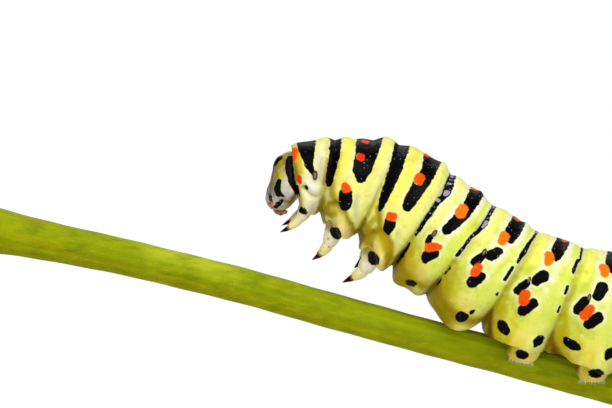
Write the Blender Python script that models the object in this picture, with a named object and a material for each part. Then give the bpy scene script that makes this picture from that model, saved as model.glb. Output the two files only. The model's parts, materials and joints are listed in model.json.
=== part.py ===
"""A swallowtail larva at life size, gripping a cut length of green stem on a display stand.

The larva faces -X and rears its front half. The stem falls towards +X. The origin is the middle
of the underside of the stand's base, +Z is up, and the animal's left side faces -Y.
"""

import math

import bmesh
import bpy
import numpy as np
from mathutils import Matrix, Vector

MM = 0.001
GAP = 0.25 * MM  # clear space kept between two neighbouring pieces

# The body, ring by ring from front to back. A fold is the crease between two rings. Each row
# says how far the rear fold lies behind the front one, how steeply the body falls over it in
# degrees, then the lean in degrees, the height and the width of the rear fold. Lengths in mm.
RINGS = (
    ("thorax_1", 2.03, 2.6, 12.5, 4.63, 4.9),
    ("thorax_2", 3.28, 16.6, 25.5, 5.9, 6.2),
    ("thorax_3", 3.29, 34.8, 33.0, 6.6, 6.9),
    ("abdomen_1", 2.99, 37.3, 37.0, 6.95, 7.1),
    ("abdomen_2", 3.52, 30.0, 31.0, 6.8, 7.1),
    ("abdomen_3", 3.60, 18.5, 21.0, 6.45, 7.0),
    ("abdomen_4", 4.05, 14.0, 13.5, 6.7, 7.0),
    ("abdomen_5", 4.13, 15.0, 13.5, 6.6, 6.9),
    ("abdomen_6", 4.00, 15.6, 15.6, 6.3, 6.6),
    ("abdomen_7", 3.65, 16.5, 16.0, 5.8, 6.1),
    ("abdomen_8", 3.00, 20.0, 17.0, 5.0, 5.2),
    ("abdomen_9", 1.88, 24.0, 18.0, 4.1, 4.3),
    ("abdomen_10", 2.13, 26.0, 18.0, 3.2, 3.4),
)
NECK_X, NECK_Z = -10.56, 26.47  # middle of the fold between head and body, in mm
NECK_LEAN, NECK_HEIGHT, NECK_WIDTH = -4.0, 3.56, 4.0
LAST = len(RINGS)

# How far a ring swells between its folds, in mm, on the back, and on the belly.
SWELL_BACK, SWELL_BELLY = 0.20, 0.42
CREASE_BEFORE, CREASE_AFTER = 0.22, 0.42  # half-widths of a crease, before and behind it
CREASE_POWER = 1.3
NO_CREASE = 9.0  # a distance in mm too large for a crease, behind the last ring
TAIL_BLUNTNESS = 2.6

# Fleshy lobes on both sides: place along the body in rings, place round it in degrees from
# the middle of the back, height, reach along the body and reach round it in mm.
LOBES = (
    (0.55, 138, 0.35, 0.65, 0.9),
    (1.60, 140, 0.95, 0.90, 1.1),
    (2.62, 140, 1.00, 0.95, 1.1),
    (3.50, 132, 0.45, 1.20, 1.3),
    (4.45, 134, 0.60, 1.50, 1.3),
    (5.50, 134, 0.40, 1.40, 1.2),
    (6.50, 134, 0.40, 1.50, 1.2),
    (7.50, 134, 0.40, 1.50, 1.2),
    (8.50, 134, 0.40, 1.40, 1.2),
    (9.50, 128, 0.22, 1.20, 1.2),
    (10.5, 128, 0.18, 1.00, 1.1),
    (12.4, 132, 0.25, 0.80, 0.9),
)

# A channel along the middle of the belly leaves room for the stem between the prolegs, in mm
# but for its start and the length it eases in over, which are in rings.
CHANNEL_DEPTH, CHANNEL_REACH, CHANNEL_START, CHANNEL_EASE = 0.75, 1.5, 4.5, 0.9

# The stem: a round stalk that falls at STEM_FALL and levels a little towards its thick end.
STEM_X, STEM_Z = 8.19, 13.46  # a point of its axis, below the fourth ring of the abdomen
STEM_FALL = math.radians(15.5)
STEM_FRONT, STEM_REAR = -31.1, 31.1  # ends of the axis
STEM_BEND_X = -8.4  # in front of this the stem bends
STEM_BEND = math.radians(4.0) / 22.7  # per mm
STEM_RADIUS, STEM_FLARE, FLARE_REACH = 1.09, 0.46, 2.6

BASE_SIZE = (66.0, 26.0, 3.5)
BASE_EDGE, BASE_CORNER = 0.8, 3.0
ROD_RADIUS, COLLAR_RADIUS, COLLAR_HEIGHT = 0.8, 1.5, 1.0
ROD_PLACES = (-30.0, 21.0)

# Walking legs: the radii in mm of the part sunk in the body, and of each of the three joints at
# its thick and thin ends, which lie LEG_STEP of the joint's length from its two ends.
LEG_ROOT_RADII = (0.62, 0.60)
LEG_JOINT_RADII = ((0.56, 0.44), (0.40, 0.31), (0.25, 0.05))
LEG_STEP = 0.12
# The places of each leg's root, two joints and claw tip in mm (x, y, z), on the left side. A
# right leg is held a little further back and higher, by the lifts in mm along x and z.
LEFT_LEGS = (
    ((-9.45, -0.95, 24.75), (-10.31, -0.95, 23.60), (-10.97, -0.88, 23.09), (-11.50, -0.80, 22.84)),
    ((-7.75, -1.25, 23.25), (-8.50, -1.20, 22.00), (-8.97, -1.10, 21.47), (-9.50, -1.00, 21.12)),
    ((-5.60, -1.35, 21.60), (-6.38, -1.30, 20.44), (-6.97, -1.20, 20.03), (-7.62, -1.10, 19.72)),
)
RIGHT_LEG_LIFTS = ((0.10, 0.42), (0.30, 0.40), (0.55, 0.75))

# Prolegs: ring, place along the body, lean of the leg in degrees, and size against one of the
# abdomen's middle. The profile of a foot is its depth as a share of the way from the body's
# axis to the stem's, then its half-length and its half-thickness in mm. From root to sole a
# foot moves from ROOT_SPREAD of the body's half-width to SOLE_SPREAD mm off the middle plane.
FEET = (
    ("abdomen_3", 5.50, 12.0, 1.0),
    ("abdomen_4", 6.50, 3.0, 1.0),
    ("abdomen_5", 7.50, 8.0, 1.0),
    ("abdomen_6", 8.50, 14.0, 0.96),
    ("abdomen_10", 12.25, 3.0, 1.12),
)
FOOT_PROFILE = (
    (0.40, 1.25, 0.80),
    (0.72, 1.18, 0.88),
    (0.80, 1.02, 0.78),
    (0.88, 0.95, 0.74),
    (0.95, 0.82, 0.66),
    (1.00, 0.58, 0.46),
    (1.02, 0.24, 0.20),
)
ROOT_SPREAD, SOLE_SPREAD = 0.60, 1.76

# The head: an egg with its broad end low. Centre, and reach each way from it.
HEAD_X, HEAD_Z = -10.81, 25.44
HEAD_FORWARD, HEAD_BACK, HEAD_UP, HEAD_DOWN, HEAD_SIDE = 1.50, 0.70, 2.56, 1.60, 1.85
HEAD_SEAM, SEAM_WIDTH = 0.10, 0.16
HEAD_COLUMNS, HEAD_ROWS = 26, 14
# Simple eyes: degrees round from straight ahead, and degrees above the broadest level.
EYE_RADIUS = 0.13
EYE_ARC = ((58, -4), (50, -12), (42, -20), (40, -31), (49, -38), (60, -30))
# Short feelers: place on the head in degrees, and aim forward, outward and down.
ANTENNA_AZIMUTH, ANTENNA_HEIGHT, ANTENNA_AIM = 34, -46, (0.62, 0.30, 0.72)
# How far out from the head's surface each ring of a feeler lies, and its radius, in mm.
ANTENNA_RINGS = ((-0.1, 0.27), (0.52, 0.25), (0.56, 0.17), (0.82, 0.13))
# Mouth: centre and half-sizes in mm of the lip, the left and right jaws, and the spinneret.
MOUTH_LUMPS = (
    ((-11.95, 0, 24.05), (0.42, 0.60, 0.36)),
    ((-11.60, -0.42, 23.80), (0.36, 0.36, 0.36)),
    ((-11.60, 0.42, 23.80), (0.36, 0.36, 0.36)),
    ((-11.10, 0, 23.70), (0.36, 0.44, 0.34)),
)

SKIN_SIDES, LEG_SIDES, FOOT_SIDES = 32, 12, 14
STEM_SIDES, STEM_STEPS, ROD_SIDES, ANTENNA_SIDES = 20, 18, 20, 10
RING_STEPS = (0.0, 0.06, 0.18, 0.36, 0.56, 0.76, 0.91, 1.0)


def clear_scene():
    for old in list(bpy.data.objects):
        bpy.data.objects.remove(old)


def make_material(name, colour, roughness, metallic=0.0):
    material = bpy.data.materials.new(name)
    material.use_nodes = True
    shader = material.node_tree.nodes["Principled BSDF"]
    shader.inputs["Base Color"].default_value = (*colour, 1.0)
    shader.inputs["Roughness"].default_value = roughness
    shader.inputs["Metallic"].default_value = metallic
    return material


def fold_values():
    """Place, lean and size of each fold, from the neck to the tail."""
    x, z = NECK_X, NECK_Z
    folds = [(x, z, NECK_LEAN, NECK_HEIGHT / 2, NECK_WIDTH / 2)]
    for _, length, fall, lean, height, width in RINGS:
        x += length * math.cos(math.radians(fall))
        z -= length * math.sin(math.radians(fall))
        folds.append((x, z, lean, height / 2, width / 2))
    return np.array(folds)


FOLDS = fold_values()
LENGTHS = np.array([row[1] for row in RINGS])


def at(u):
    """A smooth curve through the folds: x, z, lean, half-height and half-width at place u."""
    u = np.clip(np.asarray(u, float), 0, LAST)
    k = np.minimum(u.astype(int), LAST - 1)
    t = (u - k)[..., None]
    padded = np.vstack((2 * FOLDS[0] - FOLDS[1], FOLDS, 2 * FOLDS[-1] - FOLDS[-2]))
    a, b, c, d = padded[k], padded[k + 1], padded[k + 2], padded[k + 3]
    return b + t * ((c - a) / 2 + t * (a - 2.5 * b + 2 * c - d / 2 + t * (1.5 * (b - c) + (d - a) / 2)))


def swelling(u, angle):
    """How far the skin stands out from the line through the folds, in mm."""
    k = np.minimum(u.astype(int), LAST - 1)
    behind = np.maximum(u - k, 0) * LENGTHS[k]
    before = np.maximum(k + 1 - u, 0) * LENGTHS[k]
    before = np.where(k == LAST - 1, NO_CREASE, before)
    crease = 1 - np.exp(-((behind / CREASE_AFTER) ** CREASE_POWER))
    crease = crease * (1 - np.exp(-((before / CREASE_BEFORE) ** CREASE_POWER)))
    low = (1 - np.cos(angle)) / 2
    out = (SWELL_BACK + (SWELL_BELLY - SWELL_BACK) * low) * crease
    radius = at(u)[..., 3]
    turn = np.abs((angle + math.pi) % (2 * math.pi) - math.pi)
    for place, degrees, height, along, around in LOBES:
        ring = min(int(place), LAST - 1)
        a = (u - place) * LENGTHS[ring] / along
        b = (turn - math.radians(degrees)) * radius / around
        out = out + height * np.exp(-(a * a) - b * b) * crease
    start = np.clip((u - CHANNEL_START) / CHANNEL_EASE, 0, 1)
    off_middle = (math.pi - turn) * radius / CHANNEL_REACH
    return out - CHANNEL_DEPTH * start * start * (3 - 2 * start) * np.exp(-off_middle * off_middle)


def skin(u, angle, out=0.0):
    """Points of the body's surface in metres. The angle runs from the back towards the left."""
    u, angle = np.broadcast_arrays(np.asarray(u, float), np.asarray(angle, float))
    x, z, lean, high, wide = np.moveaxis(at(u), -1, 0)
    lean = np.radians(lean)
    blunt = np.clip(u - (LAST - 1), 0, 1)
    close = np.sqrt(np.clip(1 - blunt**TAIL_BLUNTNESS, 0, 1))
    grown = swelling(u, angle) + out
    up = np.cos(angle) * (high + grown) * close
    side = np.sin(angle) * (wide + grown) * close
    return np.stack((x + up * np.sin(lean), -side, z + up * np.cos(lean)), -1) * MM


def tube(name, rings, material):
    """A closed body from rings of points. A ring of one point is a pole."""
    mesh = bmesh.new()
    loops = [[mesh.verts.new(p) for p in ring] for ring in rings]
    for first, second in zip(loops, loops[1:]):
        count = max(len(first), len(second))
        for i in range(count):
            j = (i + 1) % count
            if len(first) == 1:
                mesh.faces.new((first[0], second[j], second[i]))
            elif len(second) == 1:
                mesh.faces.new((first[i], first[j], second[0]))
            else:
                mesh.faces.new((first[i], first[j], second[j], second[i]))
    for loop in (loops[0], loops[-1]):
        if len(loop) > 2:
            mesh.faces.new(loop)
    bmesh.ops.recalc_face_normals(mesh, faces=mesh.faces)
    return finish(name, mesh, material)


def finish(name, mesh, material):
    """Turns a bmesh into a smooth-shaded object of the scene."""
    data = bpy.data.meshes.new(name)
    mesh.to_mesh(data)
    mesh.free()
    data.materials.append(material)
    data.shade_smooth()
    data.set_sharp_from_angle(angle=math.radians(40))
    made = bpy.data.objects.new(name, data)
    bpy.context.scene.collection.objects.link(made)
    return made


def body_ring(name, index, material, out=0.0, reach=0.0):
    """One ring of the body between its folds, parted from the next ring by GAP."""
    ends = (GAP / 2 - reach) / (LENGTHS[index] * MM)
    rear = 1.0 if index == LAST - 1 else 1 - ends
    places = index + ends + (rear - ends) * np.array(RING_STEPS)
    angles = np.linspace(0, 2 * math.pi, SKIN_SIDES, endpoint=False)
    rings = [[Vector(p) for p in skin(np.full(SKIN_SIDES, u), angles, out / MM)] for u in places]
    if index == LAST - 1:
        tip = skin(np.array([float(LAST)]), np.array([0.0]))[0]
        rings[-1] = [Vector(tip)]
    return tube(name, rings, material)


def boolean(target, others, operation):
    """Cuts the others out of the target, or joins them to it, in one exact step, and drops them."""
    helpers = bpy.data.collections.new("helpers")
    for other in others:
        for home in list(other.users_collection):
            home.objects.unlink(other)
        helpers.objects.link(other)
    modifier = target.modifiers.new("cut", "BOOLEAN")
    modifier.operation = operation
    modifier.operand_type = "COLLECTION"
    modifier.collection = helpers
    graph = bpy.context.evaluated_depsgraph_get()
    result = bpy.data.meshes.new_from_object(target.evaluated_get(graph))
    target.modifiers.clear()
    target.data = result
    for other in others:
        bpy.data.objects.remove(other)
    bpy.data.collections.remove(helpers)
    keep_largest(target)
    return target


def keep_largest(target):
    """Leaves only the closed surface of the largest volume."""
    mesh = bmesh.new()
    mesh.from_mesh(target.data)
    bmesh.ops.remove_doubles(mesh, verts=mesh.verts, dist=1e-6)
    left = set(mesh.faces)
    shells = []
    while left:
        shell, edge = set(), [left.pop()]
        while edge:
            face = edge.pop()
            shell.add(face)
            for near in (f for e in face.edges for f in e.link_faces if f in left):
                left.discard(near)
                edge.append(near)
        shells.append(shell)
    shells.sort(key=lambda shell: sum(f.calc_area() for f in shell))
    loose = [face for shell in shells[:-1] for face in shell]
    bmesh.ops.delete(mesh, geom=loose, context="FACES")
    mesh.to_mesh(target.data)
    mesh.free()


def make_trunk(flesh):
    for index, (name, *_) in enumerate(RINGS):
        body_ring(name, index, flesh)


def near_rings(place, material):
    """The body near a leg's root, grown by the gap, to cut the root back from it."""
    middle = min(int(place), LAST - 1)
    rings = range(max(middle - 1, 0), min(middle + 2, LAST))
    return [body_ring(f"cutter_{i}", i, material, out=GAP, reach=1.5 * GAP) for i in rings]


def oval(centre, across, along, half_across, half_along, count):
    """Points of an oval round a centre, spanned by two directions."""
    turns = [2 * math.pi * i / count for i in range(count)]
    return [centre + across * half_across * math.cos(t) + along * half_along * math.sin(t) for t in turns]


def make_leg(name, places, place, material):
    """A walking leg: a tapered, jointed cone that ends in a claw."""
    joints = [Vector(p) * MM for p in places]
    inner = joints[0] + (joints[0] - joints[1]) * 0.5
    stations = [(inner, LEG_ROOT_RADII[0]), (joints[0], LEG_ROOT_RADII[1])]
    for start, end, (thick, thin) in zip(joints, joints[1:], LEG_JOINT_RADII):
        stations += [(start.lerp(end, LEG_STEP), thick), (start.lerp(end, 1 - LEG_STEP), thin)]
    rings = []
    for i, (centre, radius) in enumerate(stations):
        ahead = (stations[min(i + 1, len(stations) - 1)][0] - stations[max(i - 1, 0)][0]).normalized()
        across = Vector((0, 1, 0)).cross(ahead).normalized()
        rings.append(oval(centre, across, ahead.cross(across), radius * MM, radius * MM, LEG_SIDES))
    rings.append([joints[-1]])
    leg = tube(name, rings, material)
    return boolean(leg, near_rings(place, material), "DIFFERENCE")


def make_legs(horn):
    for number, (places, lift) in enumerate(zip(LEFT_LEGS, RIGHT_LEG_LIFTS)):
        make_leg(f"leg_{number + 1}_left", places, number + 0.5, horn)
        right = [
            (x + lift[0] * share, -y, z + lift[1] * share)
            for (x, y, z), share in zip(places, (0.5, 1.0, 1.0, 1.0))
        ]
        make_leg(f"leg_{number + 1}_right", right, number + 0.5, horn)


def stem_axis(x):
    """Height of the stem's axis at x, in mm."""
    bent = max(STEM_BEND_X - x, 0.0) / math.cos(STEM_FALL)
    return STEM_Z - (x - STEM_X) * math.tan(STEM_FALL) - bent * bent * STEM_BEND / 2


def stem_radius(x):
    return STEM_RADIUS + STEM_FLARE * math.exp(-(x - STEM_FRONT) / FLARE_REACH)


def make_stem(name, material, out=0.0):
    rings = []
    for i in range(STEM_STEPS + 1):
        x = STEM_FRONT + (STEM_REAR - STEM_FRONT) * i / STEM_STEPS
        slope = (stem_axis(x + 0.1) - stem_axis(x - 0.1)) / 0.2
        up = Vector((-slope, 0, 1)).normalized()
        radius = stem_radius(x) * MM + out
        centre = Vector((x, 0, stem_axis(x))) * MM
        rings.append(oval(centre, up, Vector((0, 1, 0)), radius, radius, STEM_SIDES))
    return tube(name, rings, material)


def foot_rings(place, lean, scale, side):
    """Rings of one proleg from inside the body down to the stem's side."""
    x, z, _, _, half_width = at(place)
    lean = math.radians(lean)
    down = Vector((-math.sin(lean), 0, -math.cos(lean)))
    reach = 0.0
    while z + down.z * reach > stem_axis(x + down.x * reach):
        reach += 0.01
    along = Vector((down.z, 0, -down.x))
    across = Vector((0, side, 0))
    rings = []
    root, sole = FOOT_PROFILE[0][0], FOOT_PROFILE[-1][0]
    size = scale * MM
    for share, half_along, half_across in FOOT_PROFILE:
        spread = (share - root) / (sole - root)
        away = ROOT_SPREAD * half_width * (1 - spread) + SOLE_SPREAD * spread
        centre = (Vector((x, 0, z)) + down * (reach * share) + across * away) * MM
        rings.append(oval(centre, across, along, half_across * size, half_along * size, FOOT_SIDES))
    return rings


def make_feet(flesh):
    for ring, place, lean, scale in FEET:
        for word, side in (("left", -1), ("right", 1)):
            foot = tube(f"proleg_{ring.split('_')[1]}_{word}", foot_rings(place, lean, scale, side), flesh)
            cutters = near_rings(place, flesh) + [make_stem("cutter_stem", flesh, out=GAP)]
            boolean(foot, cutters, "DIFFERENCE")


def head_point(azimuth, height, out=0.0):
    """Outer surface of the head. The azimuth runs from straight ahead to the left side, the
    height from the egg's broadest level up, both in radians."""
    reach_up = np.where(height > 0, HEAD_UP, HEAD_DOWN) + out
    reach = np.where(np.cos(azimuth) > 0, HEAD_FORWARD, HEAD_BACK) + out
    level = np.cos(height)
    x = HEAD_X - reach * level * np.cos(azimuth)
    y = -(HEAD_SIDE + out) * level * np.sin(azimuth)
    z = HEAD_Z + reach_up * np.sin(height)
    seam = HEAD_SEAM * np.exp(-((y / SEAM_WIDTH) ** 2)) * np.clip(np.cos(azimuth), 0, 1)
    return np.stack((x + seam, y, z), -1) * MM


def head_egg(name, material, out=0.0):
    rings = []
    for row in range(1, HEAD_ROWS):
        height = math.pi * (row / HEAD_ROWS - 0.5)
        azimuths = np.linspace(0, 2 * math.pi, HEAD_COLUMNS, endpoint=False)
        rings.append([Vector(p) for p in head_point(azimuths, np.full(HEAD_COLUMNS, height), out)])
    bottom = Vector(head_point(np.array(0.0), np.array(-math.pi / 2), out))
    top = Vector(head_point(np.array(0.0), np.array(math.pi / 2), out))
    return tube(name, [[bottom], *rings, [top]], material)


def ball(name, centre, size, detail, material):
    """A round lump with the given half-sizes, in metres."""
    mesh = bmesh.new()
    shape = Matrix.Translation(centre) @ Matrix.Diagonal((*size, 1))
    bmesh.ops.create_icosphere(mesh, subdivisions=detail, radius=1.0, matrix=shape)
    return finish(name, mesh, material)


def make_head(shell):
    """The head capsule: two rounded cheeks with a seam between them, and six simple eyes a side."""
    head = head_egg("head", shell)
    eye = Vector((EYE_RADIUS, EYE_RADIUS, EYE_RADIUS)) * MM
    eyes = []
    for side in (1, -1):
        for azimuth, height in EYE_ARC:
            place = head_point(math.radians(side * azimuth), math.radians(height))
            eyes.append(ball("eye", Vector(place), eye, 1, shell))
    boolean(head, eyes, "UNION")
    return boolean(head, near_rings(0.5, shell), "DIFFERENCE")


def make_mouth(shell):
    """Lip, jaws and spinneret at the foot of the head, fused into one small block."""
    lumps = [
        ball("mouthparts", Vector(centre) * MM, Vector(size) * MM, 2, shell) for centre, size in MOUTH_LUMPS
    ]
    mouth = boolean(lumps[0], lumps[1:], "UNION")
    return boolean(mouth, [head_egg("cutter_head", shell, out=GAP / MM)], "DIFFERENCE")


def make_antennae(shell):
    """Two short stubs beside the jaws, each a tapered cone with a step."""
    for word, side in (("left", 1), ("right", -1)):
        azimuth = math.radians(side * ANTENNA_AZIMUTH)
        root = Vector(head_point(azimuth, math.radians(ANTENNA_HEIGHT)))
        ahead = Vector((-ANTENNA_AIM[0], -side * ANTENNA_AIM[1], -ANTENNA_AIM[2])).normalized()
        across = Vector((0, 1, 0)).cross(ahead).normalized()
        rings = []
        for reach, radius in ANTENNA_RINGS:
            centre, radius = root + ahead * reach * MM, radius * MM
            rings.append(oval(centre, across, ahead.cross(across), radius, radius, ANTENNA_SIDES))
        antenna = tube(f"antenna_{word}", rings, shell)
        boolean(antenna, [head_egg("cutter_head", shell, out=GAP / MM)], "DIFFERENCE")


def make_base(plate):
    """The stand's flat base, with its upper edges and corners rounded."""
    mesh = bmesh.new()
    length, width, height = (size * MM for size in BASE_SIZE)
    shape = Matrix.Translation((0, 0, height / 2)) @ Matrix.Diagonal((length, width, height, 1))
    bmesh.ops.create_cube(mesh, size=1, matrix=shape)
    corners = [e for e in mesh.edges if abs(e.verts[0].co.z - e.verts[1].co.z) > height / 2]
    bmesh.ops.bevel(mesh, geom=corners, offset=BASE_CORNER * MM, segments=5, profile=0.5, affect="EDGES")
    rim = [e for e in mesh.edges if all(v.co.z > height * 0.9 for v in e.verts)]
    bmesh.ops.bevel(mesh, geom=rim, offset=BASE_EDGE * MM, segments=2, profile=0.5, affect="EDGES")
    return finish("stand_base", mesh, plate)


def make_rod(name, x, metal):
    """A round rod with a collar at its foot, cut to the slope of the stem it carries."""
    foot = BASE_SIZE[2] * MM + GAP
    rings = []
    for radius, height in (
        (COLLAR_RADIUS, 0.0),
        (COLLAR_RADIUS, COLLAR_HEIGHT * 0.75),
        (COLLAR_RADIUS * 0.85, COLLAR_HEIGHT),
        (ROD_RADIUS, COLLAR_HEIGHT),
        (ROD_RADIUS, stem_axis(x) - BASE_SIZE[2]),
    ):
        centre = Vector((x * MM, 0, foot + height * MM))
        radius = radius * MM
        rings.append(oval(centre, Vector((1, 0, 0)), Vector((0, 1, 0)), radius, radius, ROD_SIDES))
    rod = tube(name, rings, metal)
    return boolean(rod, [make_stem("cutter_stem", metal, out=GAP)], "DIFFERENCE")


def main():
    clear_scene()
    flesh = make_material("larva_skin", (0.80, 0.86, 0.30), 0.45)
    horn = make_material("leg_horn", (0.86, 0.82, 0.62), 0.35)
    shell = make_material("head_shell", (0.62, 0.60, 0.38), 0.35)
    mouth = make_material("mouth_horn", (0.36, 0.16, 0.06), 0.40)
    green = make_material("plant_stem", (0.36, 0.42, 0.06), 0.45)
    plate = make_material("stand_plate", (0.80, 0.80, 0.79), 0.50)
    metal = make_material("stand_steel", (0.62, 0.62, 0.62), 0.30, metallic=1.0)
    make_trunk(flesh)
    make_head(shell)
    make_mouth(mouth)
    make_antennae(mouth)
    make_legs(horn)
    make_feet(flesh)
    make_stem("perch_stem", green)
    make_base(plate)
    for word, x in zip(("front", "rear"), ROD_PLACES):
        make_rod(f"stand_rod_{word}", x, metal)


main()
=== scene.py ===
"""Finishes the swallowtail larva model: its skin and markings, head, legs, perch and stand."""

import json
import math

import bpy
import numpy as np
from mathutils import Matrix, Vector

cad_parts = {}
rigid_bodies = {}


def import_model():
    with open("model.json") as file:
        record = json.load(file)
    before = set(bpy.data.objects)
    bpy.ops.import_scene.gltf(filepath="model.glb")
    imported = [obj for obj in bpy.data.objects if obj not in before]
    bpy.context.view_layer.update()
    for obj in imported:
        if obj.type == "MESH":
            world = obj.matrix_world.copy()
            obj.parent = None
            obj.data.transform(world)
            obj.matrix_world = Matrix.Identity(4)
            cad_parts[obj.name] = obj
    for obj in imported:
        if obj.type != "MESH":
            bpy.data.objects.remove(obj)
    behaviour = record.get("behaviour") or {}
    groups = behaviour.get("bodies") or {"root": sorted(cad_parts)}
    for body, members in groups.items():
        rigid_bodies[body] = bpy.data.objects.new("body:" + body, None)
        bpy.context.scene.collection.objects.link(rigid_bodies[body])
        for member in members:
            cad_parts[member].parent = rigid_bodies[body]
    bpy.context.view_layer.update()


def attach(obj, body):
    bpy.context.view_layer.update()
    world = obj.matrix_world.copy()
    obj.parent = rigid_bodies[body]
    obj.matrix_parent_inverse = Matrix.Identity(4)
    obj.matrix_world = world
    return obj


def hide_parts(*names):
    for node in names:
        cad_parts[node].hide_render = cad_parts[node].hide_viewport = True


for leftover in list(bpy.data.objects):
    bpy.data.objects.remove(leftover)
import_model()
MM = 0.001


# The stand's base is a plate of cast acrylic in a pale satin finish. It is sawn to size, its four
# corners are rounded on a sander and its upper edge is rounded over before it is polished.
def begin_piece(name):
    """Names the primitive that was just added and sets its place and size into its mesh."""
    piece = bpy.context.object
    bpy.ops.object.transform_apply(location=True, rotation=True, scale=True)
    piece.name = piece.data.name = name
    return piece


def pick(piece, mode, test):
    """Enters edit mode with only the edges or faces selected that pass the test."""
    bpy.ops.object.mode_set(mode="EDIT")
    bpy.ops.mesh.select_mode(type=mode)
    bpy.ops.mesh.select_all(action="DESELECT")
    bpy.ops.object.mode_set(mode="OBJECT")
    mesh = piece.data
    for part in mesh.edges if mode == "EDGE" else mesh.polygons:
        part.select = test([mesh.vertices[i].co for i in part.vertices])
    bpy.ops.object.mode_set(mode="EDIT")


def end_piece(piece, finish, slot, *nodes, smooth=None):
    """Gives a piece its finish, shades it, fixes it to the model and lets it stand for the solids
    that it replaces."""
    if bpy.context.object.mode != "OBJECT":
        bpy.ops.object.mode_set(mode="OBJECT")
    piece.data.materials.append(finish)
    bpy.ops.object.select_all(action="DESELECT")
    piece.select_set(True)
    bpy.context.view_layer.objects.active = piece
    if smooth is None:
        bpy.ops.object.shade_smooth()
    else:
        bpy.ops.object.shade_smooth_by_angle(angle=math.radians(smooth))
    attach(piece, "root")
    if nodes:
        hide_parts(*nodes)


def add_node(tree, kind, values=None, **settings):
    """A shader node with its settings, and with values or links on its sockets."""
    node = tree.nodes.new("ShaderNode" + kind)
    for name, value in settings.items():
        setattr(node, name, value)
    for socket, value in (values or {}).items():
        if isinstance(value, bpy.types.NodeSocket):
            tree.links.new(value, node.inputs[socket])
        else:
            node.inputs[socket].default_value = value
    return node


def paint(red, green, blue):
    """A colour as a paint chart gives it, turned to the linear light that shaders use."""
    return tuple(float(c) for c in linear(np.array([red, green, blue])))


def linear(chart):
    share = np.asarray(chart, float) / 255
    return np.where(share > 0.04045, ((share + 0.055) / 1.055) ** 2.4, share / 12.92)


def finish_of(name, roughness, **settings):
    """A new material with its tree, its shader and the place on the piece that patterns read."""
    material = bpy.data.materials.new(name)
    material.use_nodes = True
    tree = material.node_tree
    shader = tree.nodes["Principled BSDF"]
    shader.inputs["Roughness"].default_value = roughness
    for socket, value in settings.items():
        shader.inputs[socket.replace("_", " ")].default_value = value
    return material, tree, shader, add_node(tree, "TexCoord").outputs["Object"]


def speckle(tree, place, size, detail=3.0):
    """Soft noise whose blotches are about size millimetres across, from 0 to 1."""
    values = {"Vector": place, "Scale": 1 / (size * MM), "Detail": detail}
    return add_node(tree, "TexNoise", values).outputs["Fac"]


def spread(tree, value, low, high, start=0.0, end=1.0):
    """Stretches the part of a value between low and high to run smoothly from start to end."""
    steps = {"Value": value, "From Min": low, "From Max": high, "To Min": start, "To Max": end}
    return add_node(tree, "MapRange", steps, interpolation_type="SMOOTHSTEP").outputs["Result"]


def blended(tree, share, first, second):
    """Two colours mixed by a share. Colours are sockets or paint."""
    mix = add_node(tree, "Mix", {0: share}, data_type="RGBA")
    for index, colour in ((6, first), (7, second)):
        if isinstance(colour, bpy.types.NodeSocket):
            tree.links.new(colour, mix.inputs[index])
        else:
            mix.inputs[index].default_value = (*colour, 1.0)
    return mix.outputs[2]


def feed(tree, shader, **sockets):
    """Links patterns to the shader's sockets, whose names are written with underscores."""
    for socket, pattern in sockets.items():
        tree.links.new(pattern, shader.inputs[socket.replace("_", " ")])


def maths(tree, operation, *values):
    return add_node(tree, "Math", dict(enumerate(values)), operation=operation).outputs[0]


def emboss(tree, shader, height, depth):
    """Fine relief on the shader, depth in millimetres at height 1."""
    bump = add_node(tree, "Bump", {"Height": height, "Distance": depth * MM, "Strength": 1.0})
    feed(tree, shader, Normal=bump.outputs["Normal"])


BASE_SIZE = Vector((66.0, 26.0, 3.5)) * MM
CORNER_RADIUS, RIM_RADIUS = 3.0 * MM, 0.8 * MM
BRIGHT_ANGLE = 35  # degrees under which a turned or milled edge is shaded smooth
bpy.ops.mesh.primitive_cube_add(size=1, location=(0, 0, BASE_SIZE.z / 2), scale=BASE_SIZE)
base = begin_piece("base_plate")
pick(base, "EDGE", lambda ends: abs(ends[0].z - ends[1].z) > BASE_SIZE.z / 2)
bpy.ops.mesh.bevel(offset=CORNER_RADIUS, segments=14, affect="EDGES")
pick(base, "FACE", lambda corners: all(c.z > BASE_SIZE.z * 0.99 for c in corners))
bpy.ops.mesh.region_to_loop()
bpy.ops.mesh.bevel(offset=RIM_RADIUS, segments=6, affect="EDGES")
satin, tree, shader, place = finish_of("satin_acrylic", 0.42, IOR=1.49)
colour = blended(tree, speckle(tree, place, 9.0), paint(236, 235, 231), paint(226, 226, 224))
polish = spread(tree, speckle(tree, place, 2.0, 5.0), 0.3, 0.7, 0.36, 0.5)
feed(tree, shader, Base_Color=colour, Roughness=polish)
emboss(tree, shader, speckle(tree, place, 0.25), 0.004)
end_piece(base, satin, "stand_plate", "stand_base", smooth=BRIGHT_ANGLE)


# Two turned steel rods carry the perch. Each has a collar that stands on the base, a stud below
# it, and a tip that is pinned into the stem. They are brushed along their length.
STEM_X, STEM_Z, STEM_FALL = 8.19, 13.46, math.radians(15.5)
STEM_BEND_X, STEM_BEND = -8.4, math.radians(5.2) / 22.7
STEM_SAG, SAG_X, SAG_REACH = 0.115, -6.5, 7.0


def bell(x):
    """1 at 0, falling softly towards 0 on both sides."""
    return np.exp(-x * x)


def stem_axis(x):
    """Height of the stem's middle line at x, in millimetres."""
    bent = np.maximum(STEM_BEND_X - x, 0.0) / math.cos(STEM_FALL)
    sag = STEM_SAG * bell((x - SAG_X) / SAG_REACH)
    return STEM_Z - (x - STEM_X) * math.tan(STEM_FALL) - bent * bent * STEM_BEND / 2 - sag


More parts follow.
